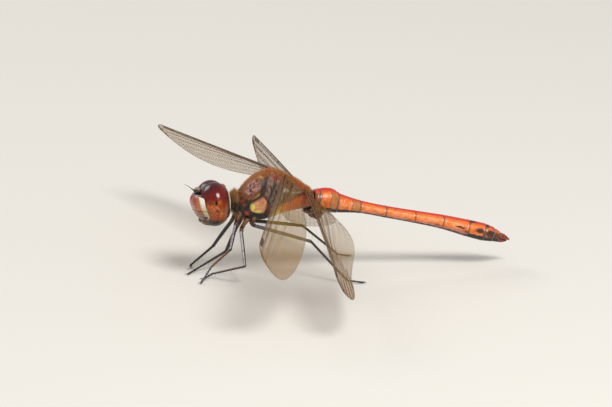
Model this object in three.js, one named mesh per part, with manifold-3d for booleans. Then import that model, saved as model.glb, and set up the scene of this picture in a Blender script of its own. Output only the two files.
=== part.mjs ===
// A common darter dragonfly at rest on its feet, life size, as a still model in named pieces.
// Millimetres, +Z up. The head points to -X, the animal's left side is -Y, the feet stand on z = 0.
import * as THREE from "three";
import { mergeVertices } from "three/addons/utils/BufferGeometryUtils.js";
import Module from "manifold-3d";

const wasm = await Module();
wasm.setup();

// ---------------------------------------------------------------- driving dimensions

const CUT = 0.04; // width of the thin cuts between neighbouring pieces
const ROOM = 0.06; // clear space round the thorax where wings and legs start
const THINNEST = 0.5; // thickness of wings, feelers and the last leg joints

const HEAD = {
  centre: new THREE.Vector3(-17.42, 0, 9.0),
  eyeHalf: new THREE.Vector3(2.0, 2.3, 2.6), // half length, half width and half height of one eye
  eyeOut: 0.9, // from the midline to the centre of an eye
  rearPlane: -15.93, // where the eyes end and the back of the head begins
  roll: -9, // degrees that the head is tilted, left side up
};

// The face from the lower lip up to the brow: height, front, back, half width.
const FACE = [
  [6.42, -18.1, -16.9, 0.6],
  [6.95, -18.75, -16.9, 0.95],
  [7.6, -19.28, -17.2, 1.15],
  [8.3, -19.72, -17.5, 1.36],
  [9.1, -20.03, -17.8, 1.5],
  [9.75, -19.98, -18.0, 1.4],
  [10.2, -19.66, -18.3, 1.05],
];
const LIP_TOP = 7.12; // lower lip below, clypeus and upper lip above
const BROW_BOTTOM = 8.28; // clypeus below, frons above
const VERTEX = { centre: new THREE.Vector3(-19.2, 0, 10.58), half: new THREE.Vector3(0.42, 0.62, 0.4) };
const FEELER = { root: new THREE.Vector3(-19.25, 0.78, 10.3), tip: new THREE.Vector3(-20.5, 1.5, 11.1) };

// Sections of the trunk from front to back: x, top, bottom, half width.
const PROTHORAX = [
  [-15.36, 9.6, 8.2, 0.62],
  [-15.2, 9.95, 7.9, 1.0],
  [-14.9, 10.25, 7.55, 1.3],
  [-14.56, 10.3, 7.4, 1.36],
];
const THORAX = [
  [-14.5, 10.15, 7.6, 1.3],
  [-13.9, 11.0, 7.0, 1.68],
  [-12.95, 12.0, 6.62, 2.0],
  [-11.9, 12.7, 6.5, 2.2],
  [-10.8, 13.0, 6.72, 2.3],
  [-9.7, 12.78, 7.1, 2.26],
  [-8.6, 12.25, 7.5, 2.2],
  [-7.5, 11.6, 7.72, 2.05],
  [-6.5, 10.95, 7.8, 1.8],
  [-5.72, 10.4, 7.85, 1.45],
];
const TRUNK_SQUARENESS = 2.3; // exponent of the section's superellipse

// Stations down the abdomen: x, z of its axis, half height, half width.
const ABDOMEN = [
  [-5.34, 8.95, 1.25, 1.35],
  [-4.67, 8.8, 1.36, 1.42],
  [-3.57, 8.69, 1.5, 1.45],
  [-2.46, 8.3, 1.26, 1.28],
  [0.35, 7.73, 0.8, 0.95],
  [3.53, 6.98, 0.74, 0.88],
  [7.08, 6.2, 0.78, 0.92],
  [10.5, 5.41, 0.89, 1.02],
  [13.57, 4.5, 1.06, 1.18],
  [15.53, 3.92, 1.09, 1.2],
  [16.63, 3.6, 0.9, 1.0],
  [17.37, 3.3, 0.68, 0.76],
];
const SEGMENT_ENDS = [0, 1, 3, 4, 5, 6, 7, 8, 9, 10, 11]; // stations where the ten segments meet
const APPENDAGE_TIP = new THREE.Vector3(18.85, 0, 2.84);
const HAMULE = { centre: new THREE.Vector3(-4.9, 0, 6.96), half: new THREE.Vector3(0.8, 0.5, 0.42) };

// Wings: length, greatest chord, how the chord rises from the root and falls to the tip, the share of
// the length over which the wing twists, and its root.
const FOREWING = {
  length: 27.7, chord: 7.2, root: 0.36, rise: 0.24, fall: [6, 0.5], twist: 1,
  base: [-9.3, 1.4, 12.2],
};
const HINDWING = {
  length: 27.3, chord: 8.0, root: 0.5, rise: 0.05, fall: [3, 0.5], twist: 0.5,
  base: [-6.65, 1.4, 10.5],
};
const TIP_DROP = 1.9; // how far the front edge curves back at the tip
const TIP_START = 0.92; // share of the length from which it does so, as a quarter of an ellipse
// Each wing's pose: degrees swept forward, degrees of droop, how far the tip bends below that line in
// millimetres, and degrees by which the trailing edge is turned down at root and tip.
const WING_POSES = {
  forewing_l: { wing: FOREWING, side: -1, sweep: 20.0, droop: 0.0, bend: 0.3, pitch: [48, 64] },
  forewing_r: { wing: FOREWING, side: 1, sweep: 18.8, droop: 2.8, bend: 0.0, pitch: [32, 48] },
  hindwing_l: { wing: HINDWING, side: -1, sweep: 5.9, droop: 2.0, bend: 1.8, pitch: [42, 59] },
  hindwing_r: { wing: HINDWING, side: 1, sweep: -1.8, droop: 3.2, bend: 0.3, pitch: [44, 80] },
};

// Legs: coxa top, hip, knee, ankle and toe of each.
const LEGS = {
  foreleg_l: [
    [-14.3, -0.75, 8.1], [-14.73, -0.8, 6.6], [-16.0, -3.5, 4.28],
    [-17.74, -1.8, 1.8], [-19.29, -2.94, 0],
  ],
  foreleg_r: [
    [-14.3, 0.75, 8.1], [-14.73, 0.8, 6.6], [-16.6, 2.4, 2.94],
    [-19.35, 2.2, 0.75], [-18.9, 3.7, 0],
  ],
  midleg_l: [
    [-13.3, -0.85, 7.3], [-14.11, -0.8, 5.9], [-14.4, -4.4, 2.45],
    [-17.36, -0.94, 0.62], [-18.7, -1.4, 0],
  ],
  midleg_r: [
    [-13.3, 0.85, 7.3], [-14.11, 0.8, 5.9], [-15.0, 2.5, 2.2],
    [-18.17, 2.1, 0.55], [-20.0, 0.75, 0],
  ],
  hindleg_l: [
    [-12.5, -0.95, 7.6], [-13.0, -0.85, 6.42], [-6.12, -3.0, 4.69],
    [-2.2, -5.3, 0.45], [-0.2, -5.4, 0],
  ],
  hindleg_r: [
    [-12.5, 0.95, 7.6], [-13.0, 0.85, 6.42], [-5.75, 2.5, 4.92],
    [-0.75, 4.6, 0.5], [0.8, 5.2, 0],
  ],
};
// Radii at the two ends of each leg joint.
const LEG_RADII = { coxa: [0.44, 0.4], femur: [0.38, 0.28], tibia: [0.27, 0.25], tarsus: [0.25, 0.25] };
const ROD_DOME = 0.55; // share of a rod's radius that each of its end domes rises
const JOINT_GAP = 0.1; // least clear space between a leg joint's centre and the rods that meet there
const SOLE = 0.16; // height of a toe's axis over the floor, so that its end is a small flat

// ---------------------------------------------------------------- materials

const paint = (color, roughness, opacity = 1) =>
  new THREE.MeshStandardMaterial({ color, roughness, metalness: 0, opacity, transparent: opacity < 1 });
const EYE = () => paint("#6b1c14", 0.15);
const FACE_SHELL = () => paint("#c06a30", 0.4);
const THORAX_SHELL = () => paint("#8a4a1e", 0.5);
const ABDOMEN_SHELL = () => paint("#c83a12", 0.35);
const LEG_SHELL = () => paint("#1d1714", 0.45);
const WING_MEMBRANE = () => paint("#b79d74", 0.25, 0.5);

// ---------------------------------------------------------------- mesh helpers

/** Moves each vertex with place(point), merges the seams, and turns the faces outward. */
function reshape(geometry, place) {
  geometry.deleteAttribute("normal");
  geometry.deleteAttribute("uv");
  const merged = mergeVertices(geometry, 1e-5);
  const position = merged.getAttribute("position");
  const point = new THREE.Vector3();
  for (let i = 0; i < position.count; i += 1) {
    place(point.fromBufferAttribute(position, i));
    position.setXYZ(i, point.x, point.y, point.z);
  }
  if (signedVolume(merged) < 0) merged.index.array.reverse();
  return merged;
}

/** Volume inside a closed mesh, negative where its faces point in. */
function signedVolume(geometry) {
  const [position, index] = [geometry.getAttribute("position"), geometry.index];
  const corners = [new THREE.Vector3(), new THREE.Vector3(), new THREE.Vector3()];
  let volume = 0;
  for (let i = 0; i < index.count; i += 3) {
    corners.forEach((corner, k) => corner.fromBufferAttribute(position, index.getX(i + k)));
    volume += corners[0].dot(corners[1].clone().cross(corners[2])) / 6;
  }
  return volume;
}

/** A closed geometry as a manifold-3d solid, for joins and cuts. */
function toSolid(geometry) {
  const vertProperties = new Float32Array(geometry.getAttribute("position").array);
  const triVerts = new Uint32Array(geometry.index.array);
  return new wasm.Manifold(new wasm.Mesh({ numProp: 3, vertProperties, triVerts }));
}

/** A manifold-3d solid back as a geometry. */
function toGeometry(solid) {
  const mesh = solid.getMesh();
  const geometry = new THREE.BufferGeometry();
  geometry.setAttribute("position", new THREE.BufferAttribute(new Float32Array(mesh.vertProperties), 3));
  geometry.setIndex(new THREE.BufferAttribute(new Uint32Array(mesh.triVerts), 1));
  return geometry;
}

/** The box between two corners, as a cutting solid. */
function block(low, high) {
  const size = high.map((value, k) => value - low[k]);
  const centre = new THREE.Vector3(...low).add(new THREE.Vector3(...high)).multiplyScalar(0.5);
  return toSolid(reshape(new THREE.BoxGeometry(...size), (point) => point.add(centre)));
}

/** An ellipsoid with its poles up and down. */
function ellipsoid(centre, half, around, over) {
  const ball = new THREE.SphereGeometry(1, around, over).rotateX(Math.PI / 2);
  return reshape(ball, (point) => point.multiply(half).add(centre));
}

/** A smooth function through rows of numbers: t = 0 is the first row and 1 the last. */
function smoothRows(rows) {
  const curves = rows[0].map(
    (_, column) => new THREE.SplineCurve(rows.map((row, i) => new THREE.Vector2(i, row[column]))),
  );
  return (t) => curves.map((curve) => curve.getPoint(t).y);
}

/** Power of a sine or cosine that squares a circle off into a superellipse. */
const squared = (value, exponent) => Math.sign(value) * Math.abs(value) ** (2 / exponent);

/** A solid through sections: frame(t) gives centre, across, up; grow makes it larger all round. */
function loft(frame, sides, steps, squareness, grow = 0) {
  const tube = new THREE.CylinderGeometry(1, 1, 1, sides, steps);
  return reshape(tube, (point) => {
    const radius = Math.hypot(point.x, point.z);
    const angle = Math.atan2(point.z, point.x);
    const { centre, across, up } = frame(point.y + 0.5);
    const side = squared(Math.cos(angle), squareness) * radius * (1 + grow / across.length());
    const rise = squared(Math.sin(angle), squareness) * radius * (1 + grow / up.length());
    point.copy(centre).addScaledVector(across, side).addScaledVector(up, rise);
  });
}

/** A frame for loft from rows of x, top, bottom and half width, with sections square to X. */
function trunkFrame(rows) {
  const at = smoothRows(rows);
  return (t) => {
    const [x, top, bottom, half] = at(t);
    return {
      centre: new THREE.Vector3(x, 0, (top + bottom) / 2),
      across: new THREE.Vector3(0, half, 0),
      up: new THREE.Vector3(0, 0, (top - bottom) / 2),
    };
  };
}

/** A round-ended tapering rod between two points, gap short at each end. */
function rod(from, to, [startRadius, endRadius], [startGap, endGap], sides) {
  const [start, end] = [new THREE.Vector3(...from), new THREE.Vector3(...to)];
  const axis = end.clone().sub(start);
  const length = axis.length() - startGap - endGap;
  axis.normalize();
  const profile = [
    [0, 0],
    [0.72 * startRadius, 0.2 * ROD_DOME * startRadius],
    [startRadius, ROD_DOME * startRadius],
    [endRadius, length - ROD_DOME * endRadius],
    [0.72 * endRadius, length - 0.2 * ROD_DOME * endRadius],
    [0, length],
  ].map(([radius, height]) => new THREE.Vector2(radius, height));
  const turn = new THREE.Quaternion().setFromUnitVectors(new THREE.Vector3(0, 1, 0), axis);
  const foot = start.addScaledVector(axis, startGap);
  return reshape(new THREE.LatheGeometry(profile, sides), (point) => point.applyQuaternion(turn).add(foot));
}

// ---------------------------------------------------------------- the model

const dragonfly = new THREE.Group();

function addPiece(name, geometry, material) {
  const mesh = new THREE.Mesh(geometry, material);
  mesh.name = name;
  dragonfly.add(mesh);
}

/** A head piece tilted about the line from the face to the neck. */
function addHeadPiece(name, solid, material) {
  const tilt = new THREE.Matrix4().makeRotationX(THREE.MathUtils.degToRad(HEAD.roll));
  const [out, home] = [HEAD.centre.clone().negate(), HEAD.centre];
  const geometry = toGeometry(solid).translate(out.x, out.y, out.z).applyMatrix4(tilt);
  addPiece(name, geometry.translate(home.x, home.y, home.z), material);
}

/** The two eyes, the back of the head, the face in three pieces, the vertex and the feelers. */
function addHead() {
  const eyes = [-1, 1].map((side) => {
    const centre = HEAD.centre.clone().setY(side * HEAD.eyeOut);
    return toSolid(ellipsoid(centre, HEAD.eyeHalf, 22, 13));
  });
  const faceAt = smoothRows(FACE);
  const faceFrame = (grow) => (t) => {
    const [z, front, back, half] = faceAt(t);
    return {
      centre: new THREE.Vector3((front + back) / 2, 0, z + grow * (2 * t - 1)),
      across: new THREE.Vector3(0, half, 0),
      up: new THREE.Vector3((front - back) / 2, 0, 0),
    };
  };
  const face = toSolid(loft(faceFrame(0), 18, 9, 2.4));
  const faceRoom = toSolid(loft(faceFrame(CUT), 18, 9, 2.4, CUT));
  const vertex = toSolid(ellipsoid(VERTEX.centre, VERTEX.half, 14, 8));
  const vertexRoom = toSolid(ellipsoid(VERTEX.centre, VERTEX.half.clone().addScalar(CUT), 14, 8));
  const far = 30;
  const rear = block([HEAD.rearPlane, -far, -far], [far, far, far]);
  const front = block([-far, -far, -far], [HEAD.rearPlane + CUT, far, far]);
  ["l", "r"].forEach((letter, k) => {
    const side = k === 0 ? -1 : 1;
    const [low, high] = side < 0 ? [-CUT / 2, far] : [-far, CUT / 2];
    const otherHalf = block([-far, low, -far], [far, high, far]);
    const eye = eyes[k].subtract(otherHalf).subtract(rear).subtract(faceRoom).subtract(vertexRoom);
    addHeadPiece(`eye_${letter}`, eye, EYE());
    const mirror = new THREE.Vector3(1, side, 1);
    const [root, tip] = [FEELER.root, FEELER.tip].map((point) => point.clone().multiply(mirror));
    const feeler = toSolid(rod(root, tip, [THINNEST / 2, THINNEST / 2], [0, 0], 8));
    const bare = [eyes[k], faceRoom, vertexRoom].reduce((left, solid) => left.subtract(solid), feeler);
    addHeadPiece(`antenna_${letter}`, bare, LEG_SHELL());
  });
  addHeadPiece("head_back", eyes[0].add(eyes[1]).subtract(front), FACE_SHELL());
  const band = (low, high) => block([-far, -far, low], [far, far, high]);
  const brow = face.subtract(band(-far, BROW_BOTTOM + CUT / 2)).subtract(vertexRoom);
  const lips = face.subtract(band(BROW_BOTTOM - CUT / 2, far)).subtract(band(-far, LIP_TOP + CUT / 2));
  addHeadPiece("frons", brow, FACE_SHELL());
  addHeadPiece("clypeus_labrum", lips, FACE_SHELL());
  addHeadPiece("labium", face.subtract(band(LIP_TOP - CUT / 2, far)), FACE_SHELL());
  addHeadPiece("vertex", vertex, FACE_SHELL());
}

/** The small prothorax with its neck, and the fused thorax that carries wings and legs. */
function addThorax() {
  addPiece("prothorax", loft(trunkFrame(PROTHORAX), 18, 4, TRUNK_SQUARENESS), THORAX_SHELL());
  addPiece("thorax", loft(trunkFrame(THORAX), 26, 14, TRUNK_SQUARENESS), THORAX_SHELL());
}

/** Centre line and section of the abdomen at a station number, whole or between two. */
function abdomenFrame(station) {
  const at = smoothRows(ABDOMEN);
  const last = ABDOMEN.length - 1;
  const [x, z, halfHeight, halfWidth] = at(station / last);
  const [aheadX, aheadZ] = at(Math.min(1, (station + 0.02) / last));
  const [behindX, behindZ] = at(Math.max(0, (station - 0.02) / last));
  const run = new THREE.Vector3(aheadX - behindX, 0, aheadZ - behindZ).normalize();
  return {
    centre: new THREE.Vector3(x, 0, z),
    run,
    across: new THREE.Vector3(0, halfWidth, 0),
    up: new THREE.Vector3(-run.z, 0, run.x).multiplyScalar(halfHeight),
  };
}

/** Frame for loft of one of the ten segments, a cut's width shorter than its stretch. */
function segmentFrame(i) {
  const [first, last] = [SEGMENT_ENDS[i], SEGMENT_ENDS[i + 1]];
  return (t) => {
    const section = abdomenFrame(first + (last - first) * t);
    section.centre.addScaledVector(section.run, CUT * (0.5 - t));
    return section;
  };
}

/** Ten abdomen segments, the bulge under the second, and the three appendages at the tip. */
function addAbdomen() {
  for (let i = 0; i < SEGMENT_ENDS.length - 1; i += 1) {
    const name = `abdomen_${String(i + 1).padStart(2, "0")}`;
    addPiece(name, loft(segmentFrame(i), 16, i === 1 ? 6 : 3, 2), ABDOMEN_SHELL());
  }
  addPiece("hamule", ellipsoid(HAMULE.centre, HAMULE.half, 12, 8), THORAX_SHELL());
  const end = abdomenFrame(ABDOMEN.length - 1);
  const root = end.centre.clone().addScaledVector(end.run, CUT);
  const prongs = { cercus_l: [-0.3, 0.24], cercus_r: [0.3, 0.24], epiproct: [0, -0.32] };
  Object.entries(prongs).forEach(([name, [out, rise]]) => {
    const short = name === "epiproct" ? 0.35 : 0;
    const from = root.clone().add(new THREE.Vector3(0, out, rise));
    const to = APPENDAGE_TIP.clone().addScaledVector(end.run, -short);
    to.add(new THREE.Vector3(0, out, rise * 0.8));
    addPiece(name, rod(from, to, [0.27, 0.25], [0, 0], 10), ABDOMEN_SHELL());
  });
}

/** Chord of a wing at a share of its length. */
function chordAt(wing, t) {
  const rising = wing.root + (1 - wing.root) * (1 - Math.exp(-t / wing.rise));
  const [power, root] = wing.fall;
  return wing.chord * rising * Math.max(0, 1 - t ** power) ** root;
}

/** One wing as a thin twisted plate that starts at the thorax wall. */
function wingGeometry({ wing, side, sweep, droop, bend, pitch }) {
  const [forward, down] = [THREE.MathUtils.degToRad(sweep), THREE.MathUtils.degToRad(droop)];
  const span = new THREE.Vector3(
    -Math.sin(forward) * Math.cos(down),
    side * Math.cos(forward) * Math.cos(down),
    -Math.sin(down),
  );
  const back = new THREE.Vector3(Math.cos(forward), side * Math.sin(forward), 0);
  const below = new THREE.Vector3().crossVectors(span, back);
  if (below.z > 0) below.negate();
  const base = new THREE.Vector3(...wing.base).multiply(new THREE.Vector3(1, side, 1));
  const lastStation = 0.985; // the tip is blunt by the rest
  return reshape(new THREE.BoxGeometry(1, 1, THINNEST, 20, 4, 1), (point) => {
    const along = (1 - Math.cos((point.x + 0.5) * Math.PI)) / 2;
    const t = lastStation * (0.35 * (point.x + 0.5) + 0.65 * along);
    const turn = THREE.MathUtils.smoothstep(t, 0, wing.twist);
    const angle = THREE.MathUtils.degToRad(pitch[0] + (pitch[1] - pitch[0]) * turn);
    const chord = back.clone().multiplyScalar(Math.cos(angle)).addScaledVector(below, Math.sin(angle));
    const normal = new THREE.Vector3().crossVectors(span, chord);
    const roundOff = Math.max(0, t - TIP_START) / (1 - TIP_START);
    const front = TIP_DROP * (1 - Math.sqrt(1 - roundOff ** 2));
    const across = front + (point.y + 0.5) * Math.max(chordAt(wing, t) - front, 0.6);
    const thickness = point.z;
    point.copy(base).addScaledVector(span, t * wing.length);
    point.addScaledVector(chord, across).addScaledVector(normal, thickness);
    point.z -= bend * t ** 3;
  });
}

/** Four wings, cut back where their roots would enter the thorax or the first segment. */
function addWings() {
  const thoraxRoom = toSolid(loft(trunkFrame(THORAX), 26, 14, TRUNK_SQUARENESS, ROOM));
  const segmentRooms = [0, 1].map((i) => toSolid(loft(segmentFrame(i), 16, 6, 2, ROOM)));
  Object.entries(WING_POSES).forEach(([name, pose]) => {
    const rooms = [thoraxRoom, ...segmentRooms];
    const wing = rooms.reduce((left, room) => left.subtract(room), toSolid(wingGeometry(pose)));
    const pieces = wing.decompose().sort((a, b) => b.volume() - a.volume());
    addPiece(name, toGeometry(pieces[0]), WING_MEMBRANE());
  });
}

/** How far from a joint a rod must stop so that it stays on its own side of the bend. */
function bendGap(before, joint, after, radius) {
  const centre = new THREE.Vector3(...joint);
  const [toBefore, toAfter] = [before, after].map((point) => new THREE.Vector3(...point).sub(centre));
  const half = toBefore.angleTo(toAfter) / 2;
  return Math.max(JOINT_GAP, radius * (1 / Math.tan(half) - ROD_DOME) + JOINT_GAP / 2);
}

/** Six legs, each a coxa, femur, tibia and tarsus. */
function addLegs() {
  const thoraxRoom = toSolid(loft(trunkFrame(THORAX), 26, 14, TRUNK_SQUARENESS, ROOM));
  const prothoraxRoom = toSolid(loft(trunkFrame(PROTHORAX), 18, 4, TRUNK_SQUARENESS, ROOM));
  Object.entries(LEGS).forEach(([name, [top, hip, knee, ankle, toe]]) => {
    const sole = [toe[0], toe[1], SOLE];
    const hipGap = bendGap(top, hip, knee, LEG_RADII.coxa[1]);
    const kneeGap = bendGap(hip, knee, ankle, LEG_RADII.femur[1]);
    const ankleGap = bendGap(knee, ankle, sole, LEG_RADII.tibia[1]);
    const coxa = toSolid(rod(top, hip, LEG_RADII.coxa, [0, hipGap], 10));
    const outer = coxa.subtract(thoraxRoom).subtract(prothoraxRoom).decompose();
    outer.sort((a, b) => a.boundingBox().min[2] - b.boundingBox().min[2]);
    addPiece(`${name}_coxa`, toGeometry(outer[0]), THORAX_SHELL());
    addPiece(`${name}_femur`, rod(hip, knee, LEG_RADII.femur, [hipGap, kneeGap], 8), LEG_SHELL());
    addPiece(`${name}_tibia`, rod(knee, ankle, LEG_RADII.tibia, [kneeGap, ankleGap], 8), LEG_SHELL());
    const tarsus = reshape(rod(ankle, sole, LEG_RADII.tarsus, [ankleGap, 0], 8), (point) =>
      point.setZ(Math.max(point.z, 0)),
    );
    addPiece(`${name}_tarsus`, tarsus, LEG_SHELL());
  });
}

addHead();
addThorax();
addAbdomen();
addWings();
addLegs();

// The origin lies on the floor under the middle of the whole animal.
const bounds = new THREE.Box3().setFromObject(dragonfly);
const middle = bounds.getCenter(new THREE.Vector3());
dragonfly.position.set(-middle.x, -middle.y, -bounds.min.z);

export default dragonfly;
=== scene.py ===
"""A common darter dragonfly at rest, life size: its fine surfaces and coat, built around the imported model.

Shapes are worked out in millimetres, in the animal's own frame: the head points to -X, its left side is -Y,
and it stands on z = 0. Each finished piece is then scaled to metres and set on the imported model's origin.
"""

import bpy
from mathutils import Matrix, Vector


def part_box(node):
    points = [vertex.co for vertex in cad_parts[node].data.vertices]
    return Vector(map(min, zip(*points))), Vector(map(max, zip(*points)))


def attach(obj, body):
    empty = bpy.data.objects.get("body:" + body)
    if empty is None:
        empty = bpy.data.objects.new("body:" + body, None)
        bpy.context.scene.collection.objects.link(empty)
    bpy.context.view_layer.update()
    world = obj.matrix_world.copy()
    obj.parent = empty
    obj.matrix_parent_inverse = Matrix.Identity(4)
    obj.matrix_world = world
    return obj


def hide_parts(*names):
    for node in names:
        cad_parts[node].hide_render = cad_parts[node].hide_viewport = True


bl_info = {
    "name": "Dragonfly",
    "version": (1, 0, 0),
    "blender": (4, 5, 0),
    "location": "View3D > Sidebar > Dragonfly",
    "description": "Builds a life-size common darter dragonfly around its packed model",
    "category": "Add Mesh",
}

import math
import random

import bmesh
import bpy
import numpy as np
from mathutils import Matrix, Vector, noise

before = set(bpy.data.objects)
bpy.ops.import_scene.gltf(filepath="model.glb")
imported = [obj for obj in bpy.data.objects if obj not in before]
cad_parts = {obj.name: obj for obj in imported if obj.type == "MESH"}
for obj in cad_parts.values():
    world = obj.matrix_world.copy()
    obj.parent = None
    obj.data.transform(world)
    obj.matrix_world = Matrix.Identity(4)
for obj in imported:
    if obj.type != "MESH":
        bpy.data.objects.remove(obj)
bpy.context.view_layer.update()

# ------------------------------------------------------------------ driving sizes, in millimetres

MM = 0.001
PROTHORAX_FRONT = -15.36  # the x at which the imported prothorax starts

HEAD_CENTRE = Vector((-17.42, 0.0, 9.0))
HEAD_ROLL = math.radians(-9.0)  # the head is tilted, left side up
EYE_HALF = Vector((2.0, 2.3, 2.6))
EYE_OUT = 0.9  # from the midline to the centre of an eye
EYE_REAR = -15.93  # where the eyes end and the back of the head begins
EYE_LIGHTS = [((-18.2, 8.7), (0.7, 0.7)), ((-17.1, 8.2), (0.6, 0.6)), ((-17.5, 9.3), (0.35, 0.5))]
# False pupils are painted shade: dark spots where the facets look straight at the camera, fixed on the eye
# that faces it
FALSE_PUPILS = [(-17.7, 9.42, 0.17, 0.3, 1.0), (-17.6, 8.5, 0.13, 0.2, 0.8)]  # x, z, half sizes, depth

# The face from the lower lip to the brow: height, front and half width.
FACE = [
    (6.42, -18.1, 0.9),
    (6.95, -18.75, 1.75),
    (7.6, -19.28, 2.48),
    (8.3, -19.72, 2.58),
    (9.1, -20.03, 2.45),
    (9.75, -19.98, 2.2),
    (10.2, -19.66, 1.6),
    (10.35, -19.4, 1.0),
]
# The heights between which each plate of the face lies, and where its hair grows
FRONS_SPAN = (8.28, 10.28)
LIP_SPAN = (7.06, 8.42)
LIP_HAIR_SPAN = (7.06, 8.34)
LIP_SEAMS = ((8.33, 0.07), (7.9, 0.09), (7.6, 0.11))  # height and depth of each groove
VERTEX_CENTRE = Vector((-19.2, 0.0, 10.55))
VERTEX_HALF = Vector((0.42, 0.62, 0.4))
FEELER_ROOT = Vector((-19.25, 0.78, 10.3))
FEELER_TIP = Vector((-20.5, 1.5, 11.1))

# Sections of the trunk from front to back: x, top, bottom and half width.
PROTHORAX = [
    (-15.36, 9.6, 8.2, 0.62),
    (-15.2, 9.95, 7.9, 1.0),
    (-14.9, 10.25, 7.55, 1.3),
    (-14.56, 10.3, 7.4, 1.36),
]
THORAX = [
    (-14.5, 10.15, 7.6, 1.3),
    (-13.9, 11.0, 7.0, 1.68),
    (-12.95, 12.0, 6.62, 2.0),
    (-11.9, 12.7, 6.5, 2.2),
    (-10.8, 13.0, 6.72, 2.3),
    (-9.7, 12.78, 7.1, 2.26),
    (-8.6, 12.25, 7.5, 2.2),
    (-7.5, 11.6, 7.72, 2.05),
    (-6.5, 10.95, 7.8, 1.8),
    (-5.72, 10.4, 7.85, 1.45),
]
TRUNK_SQUARENESS = 2.3

# Grooves between the plates of the thorax wall, as x and z along each, with half width and darkness.
SUTURES = [
    ([(-11.45, 12.4), (-11.7, 11.2), (-12.15, 10.1), (-13.2, 9.45), (-13.9, 8.5)], 0.26, 1.0),
    ([(-10.2, 12.2), (-10.75, 10.6), (-11.3, 9.2), (-11.5, 7.6)], 0.14, 0.7),
    ([(-8.0, 11.4), (-8.6, 10.4), (-9.5, 9.4), (-10.4, 8.1)], 0.2, 0.95),
    ([(-12.9, 8.0), (-12.2, 7.75), (-11.4, 7.7)], 0.24, 1.0),
]
# Swellings of the thorax wall: x, z, half length, half height and rise.
BOSSES = [
    (-12.3, 9.15, 1.0, 1.0, 0.2),
    (-8.7, 8.6, 1.7, 0.8, 0.16),
    (-12.8, 11.3, 1.3, 1.1, 0.12),
    (-9.9, 10.8, 0.8, 1.4, 0.08),
]

DARK = "#0f0908"  # the black of the thorax's seams and underside
SHOULDER_CENTRE = (-12.95, 11.05)  # x and z of the oval shoulder plate
SHOULDER_LEAN = math.radians(40)
# Marks on the thorax. Spots low on its sides: x, z and half sizes. Red scales on its back: x, distance
# from the midline and half size.
RUST_SPOTS = [(-14.0, 9.3, 0.3, 0.42), (-13.55, 8.0, 0.32, 0.28)]
RED_SCALES = [
    (-10.8, 0.4, 0.34),
    (-10.4, 1.25, 0.26),
    (-9.8, 1.4, 0.2),
    (-7.25, 0.95, 0.36),
    (-6.7, 0.9, 0.28),
]

# Stations down the abdomen: x and z of its axis, half height, half width.
ABDOMEN = [
    (-5.34, 8.95, 1.25, 1.35),
    (-4.67, 8.8, 1.36, 1.42),
    (-3.57, 8.69, 1.5, 1.45),
    (-2.46, 8.3, 1.26, 1.28),
    (0.35, 7.73, 0.8, 0.95),
    (3.53, 6.98, 0.74, 0.88),
    (7.08, 6.2, 0.78, 0.92),
    (10.5, 5.41, 0.89, 1.02),
    (13.57, 4.5, 1.06, 1.18),
    (15.53, 3.92, 1.09, 1.2),
    (16.63, 3.6, 0.9, 1.0),
    (17.37, 3.3, 0.68, 0.76),
]
SEGMENT_ENDS = [0, 1, 3, 4, 5, 6, 7, 8, 9, 10, 11]
# Raised rings across the second and third segments, and the black spots of the hind ones: each spot's
# share of the segment's length and degrees above the side, its half size, and its depth.
CARINAE = {1: (0.52,), 2: (0.3, 0.64)}
SPOTS = {
    3: [((0.8, -10), (0.1, 8), 0.5)],
    4: [((0.8, -10), (0.1, 8), 0.5)],
    5: [((0.8, -10), (0.12, 8), 0.6)],
    6: [((0.62, 12), (0.2, 7), 0.95), ((0.88, -5), (0.1, 10), 0.7)],
    7: [((0.6, 20), (0.26, 16), 0.95), ((0.14, 84), (0.22, 20), 0.92), ((0.5, -22), (0.5, 12), 0.85),
        ((0.92, 0), (0.1, 30), 0.75)],
    8: [((0.6, 16), (0.6, 26), 0.94), ((0.16, 86), (0.26, 28), 0.95), ((0.5, -26), (0.6, 16), 0.85)],
    9: [((0.5, 6), (0.9, 40), 0.85)],
}
APPENDAGE_TIP = Vector((18.85, 0.0, 2.84))
# The appendages: distance from the midline, height over the axis, and how far each stops short.
APPENDAGES = {"cercus_l": (-0.3, 0.24, 0), "cercus_r": (0.3, 0.24, 0), "epiproct": (0, -0.27, 0.3)}
HAMULE_CENTRE = Vector((-4.9, 0.0, 6.96))
HAMULE_HALF = Vector((0.8, 0.5, 0.42))

# Wings: length, greatest chord, how the chord rises from the root and falls to the tip, root, the share
# of the length over which the wing twists, and where the nodus and the dark cell near the tip are.
FOREWING = {
    "length": 27.7, "chord": 7.2, "root": 0.36, "rise": 0.24, "fall": (6.0, 0.5), "twist": 1.0,
    "base": Vector((-9.3, 1.4, 12.2)), "nodus": 0.5, "stigma": (0.84, 0.92),
}
HINDWING = {
    "length": 27.3, "chord": 8.0, "root": 0.5, "rise": 0.05, "fall": (3.0, 0.5), "twist": 0.5,
    "base": Vector((-6.65, 1.4, 10.5)), "nodus": 0.43, "stigma": (0.838, 0.926),
}
TIP_DROP = 1.9  # how far the front edge curves back at the tip
TIP_START = 0.92  # share of the length from which it does so, as a quarter of an ellipse
ROOT_OPACITY = 0.42  # the membrane's opacity near the root, as a share of what it is further out
FRONT_OPACITY = 0.5  # its opacity between the crowded front veins
# Each wing's pose: degrees swept forward, degrees of droop, how far the tip bends below that line, and
# degrees by which the trailing edge is turned down at root and tip.
WING_POSES = {
    "forewing_l": (FOREWING, -1, 20.0, 0.0, 0.3, (48.0, 64.0)),
    "forewing_r": (FOREWING, 1, 18.8, 2.8, 0.0, (32.0, 48.0)),
    "hindwing_l": (HINDWING, -1, 5.9, 2.0, 1.8, (42.0, 59.0)),
    "hindwing_r": (HINDWING, 1, -1.8, 3.2, 0.3, (44.0, 80.0)),
}

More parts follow.
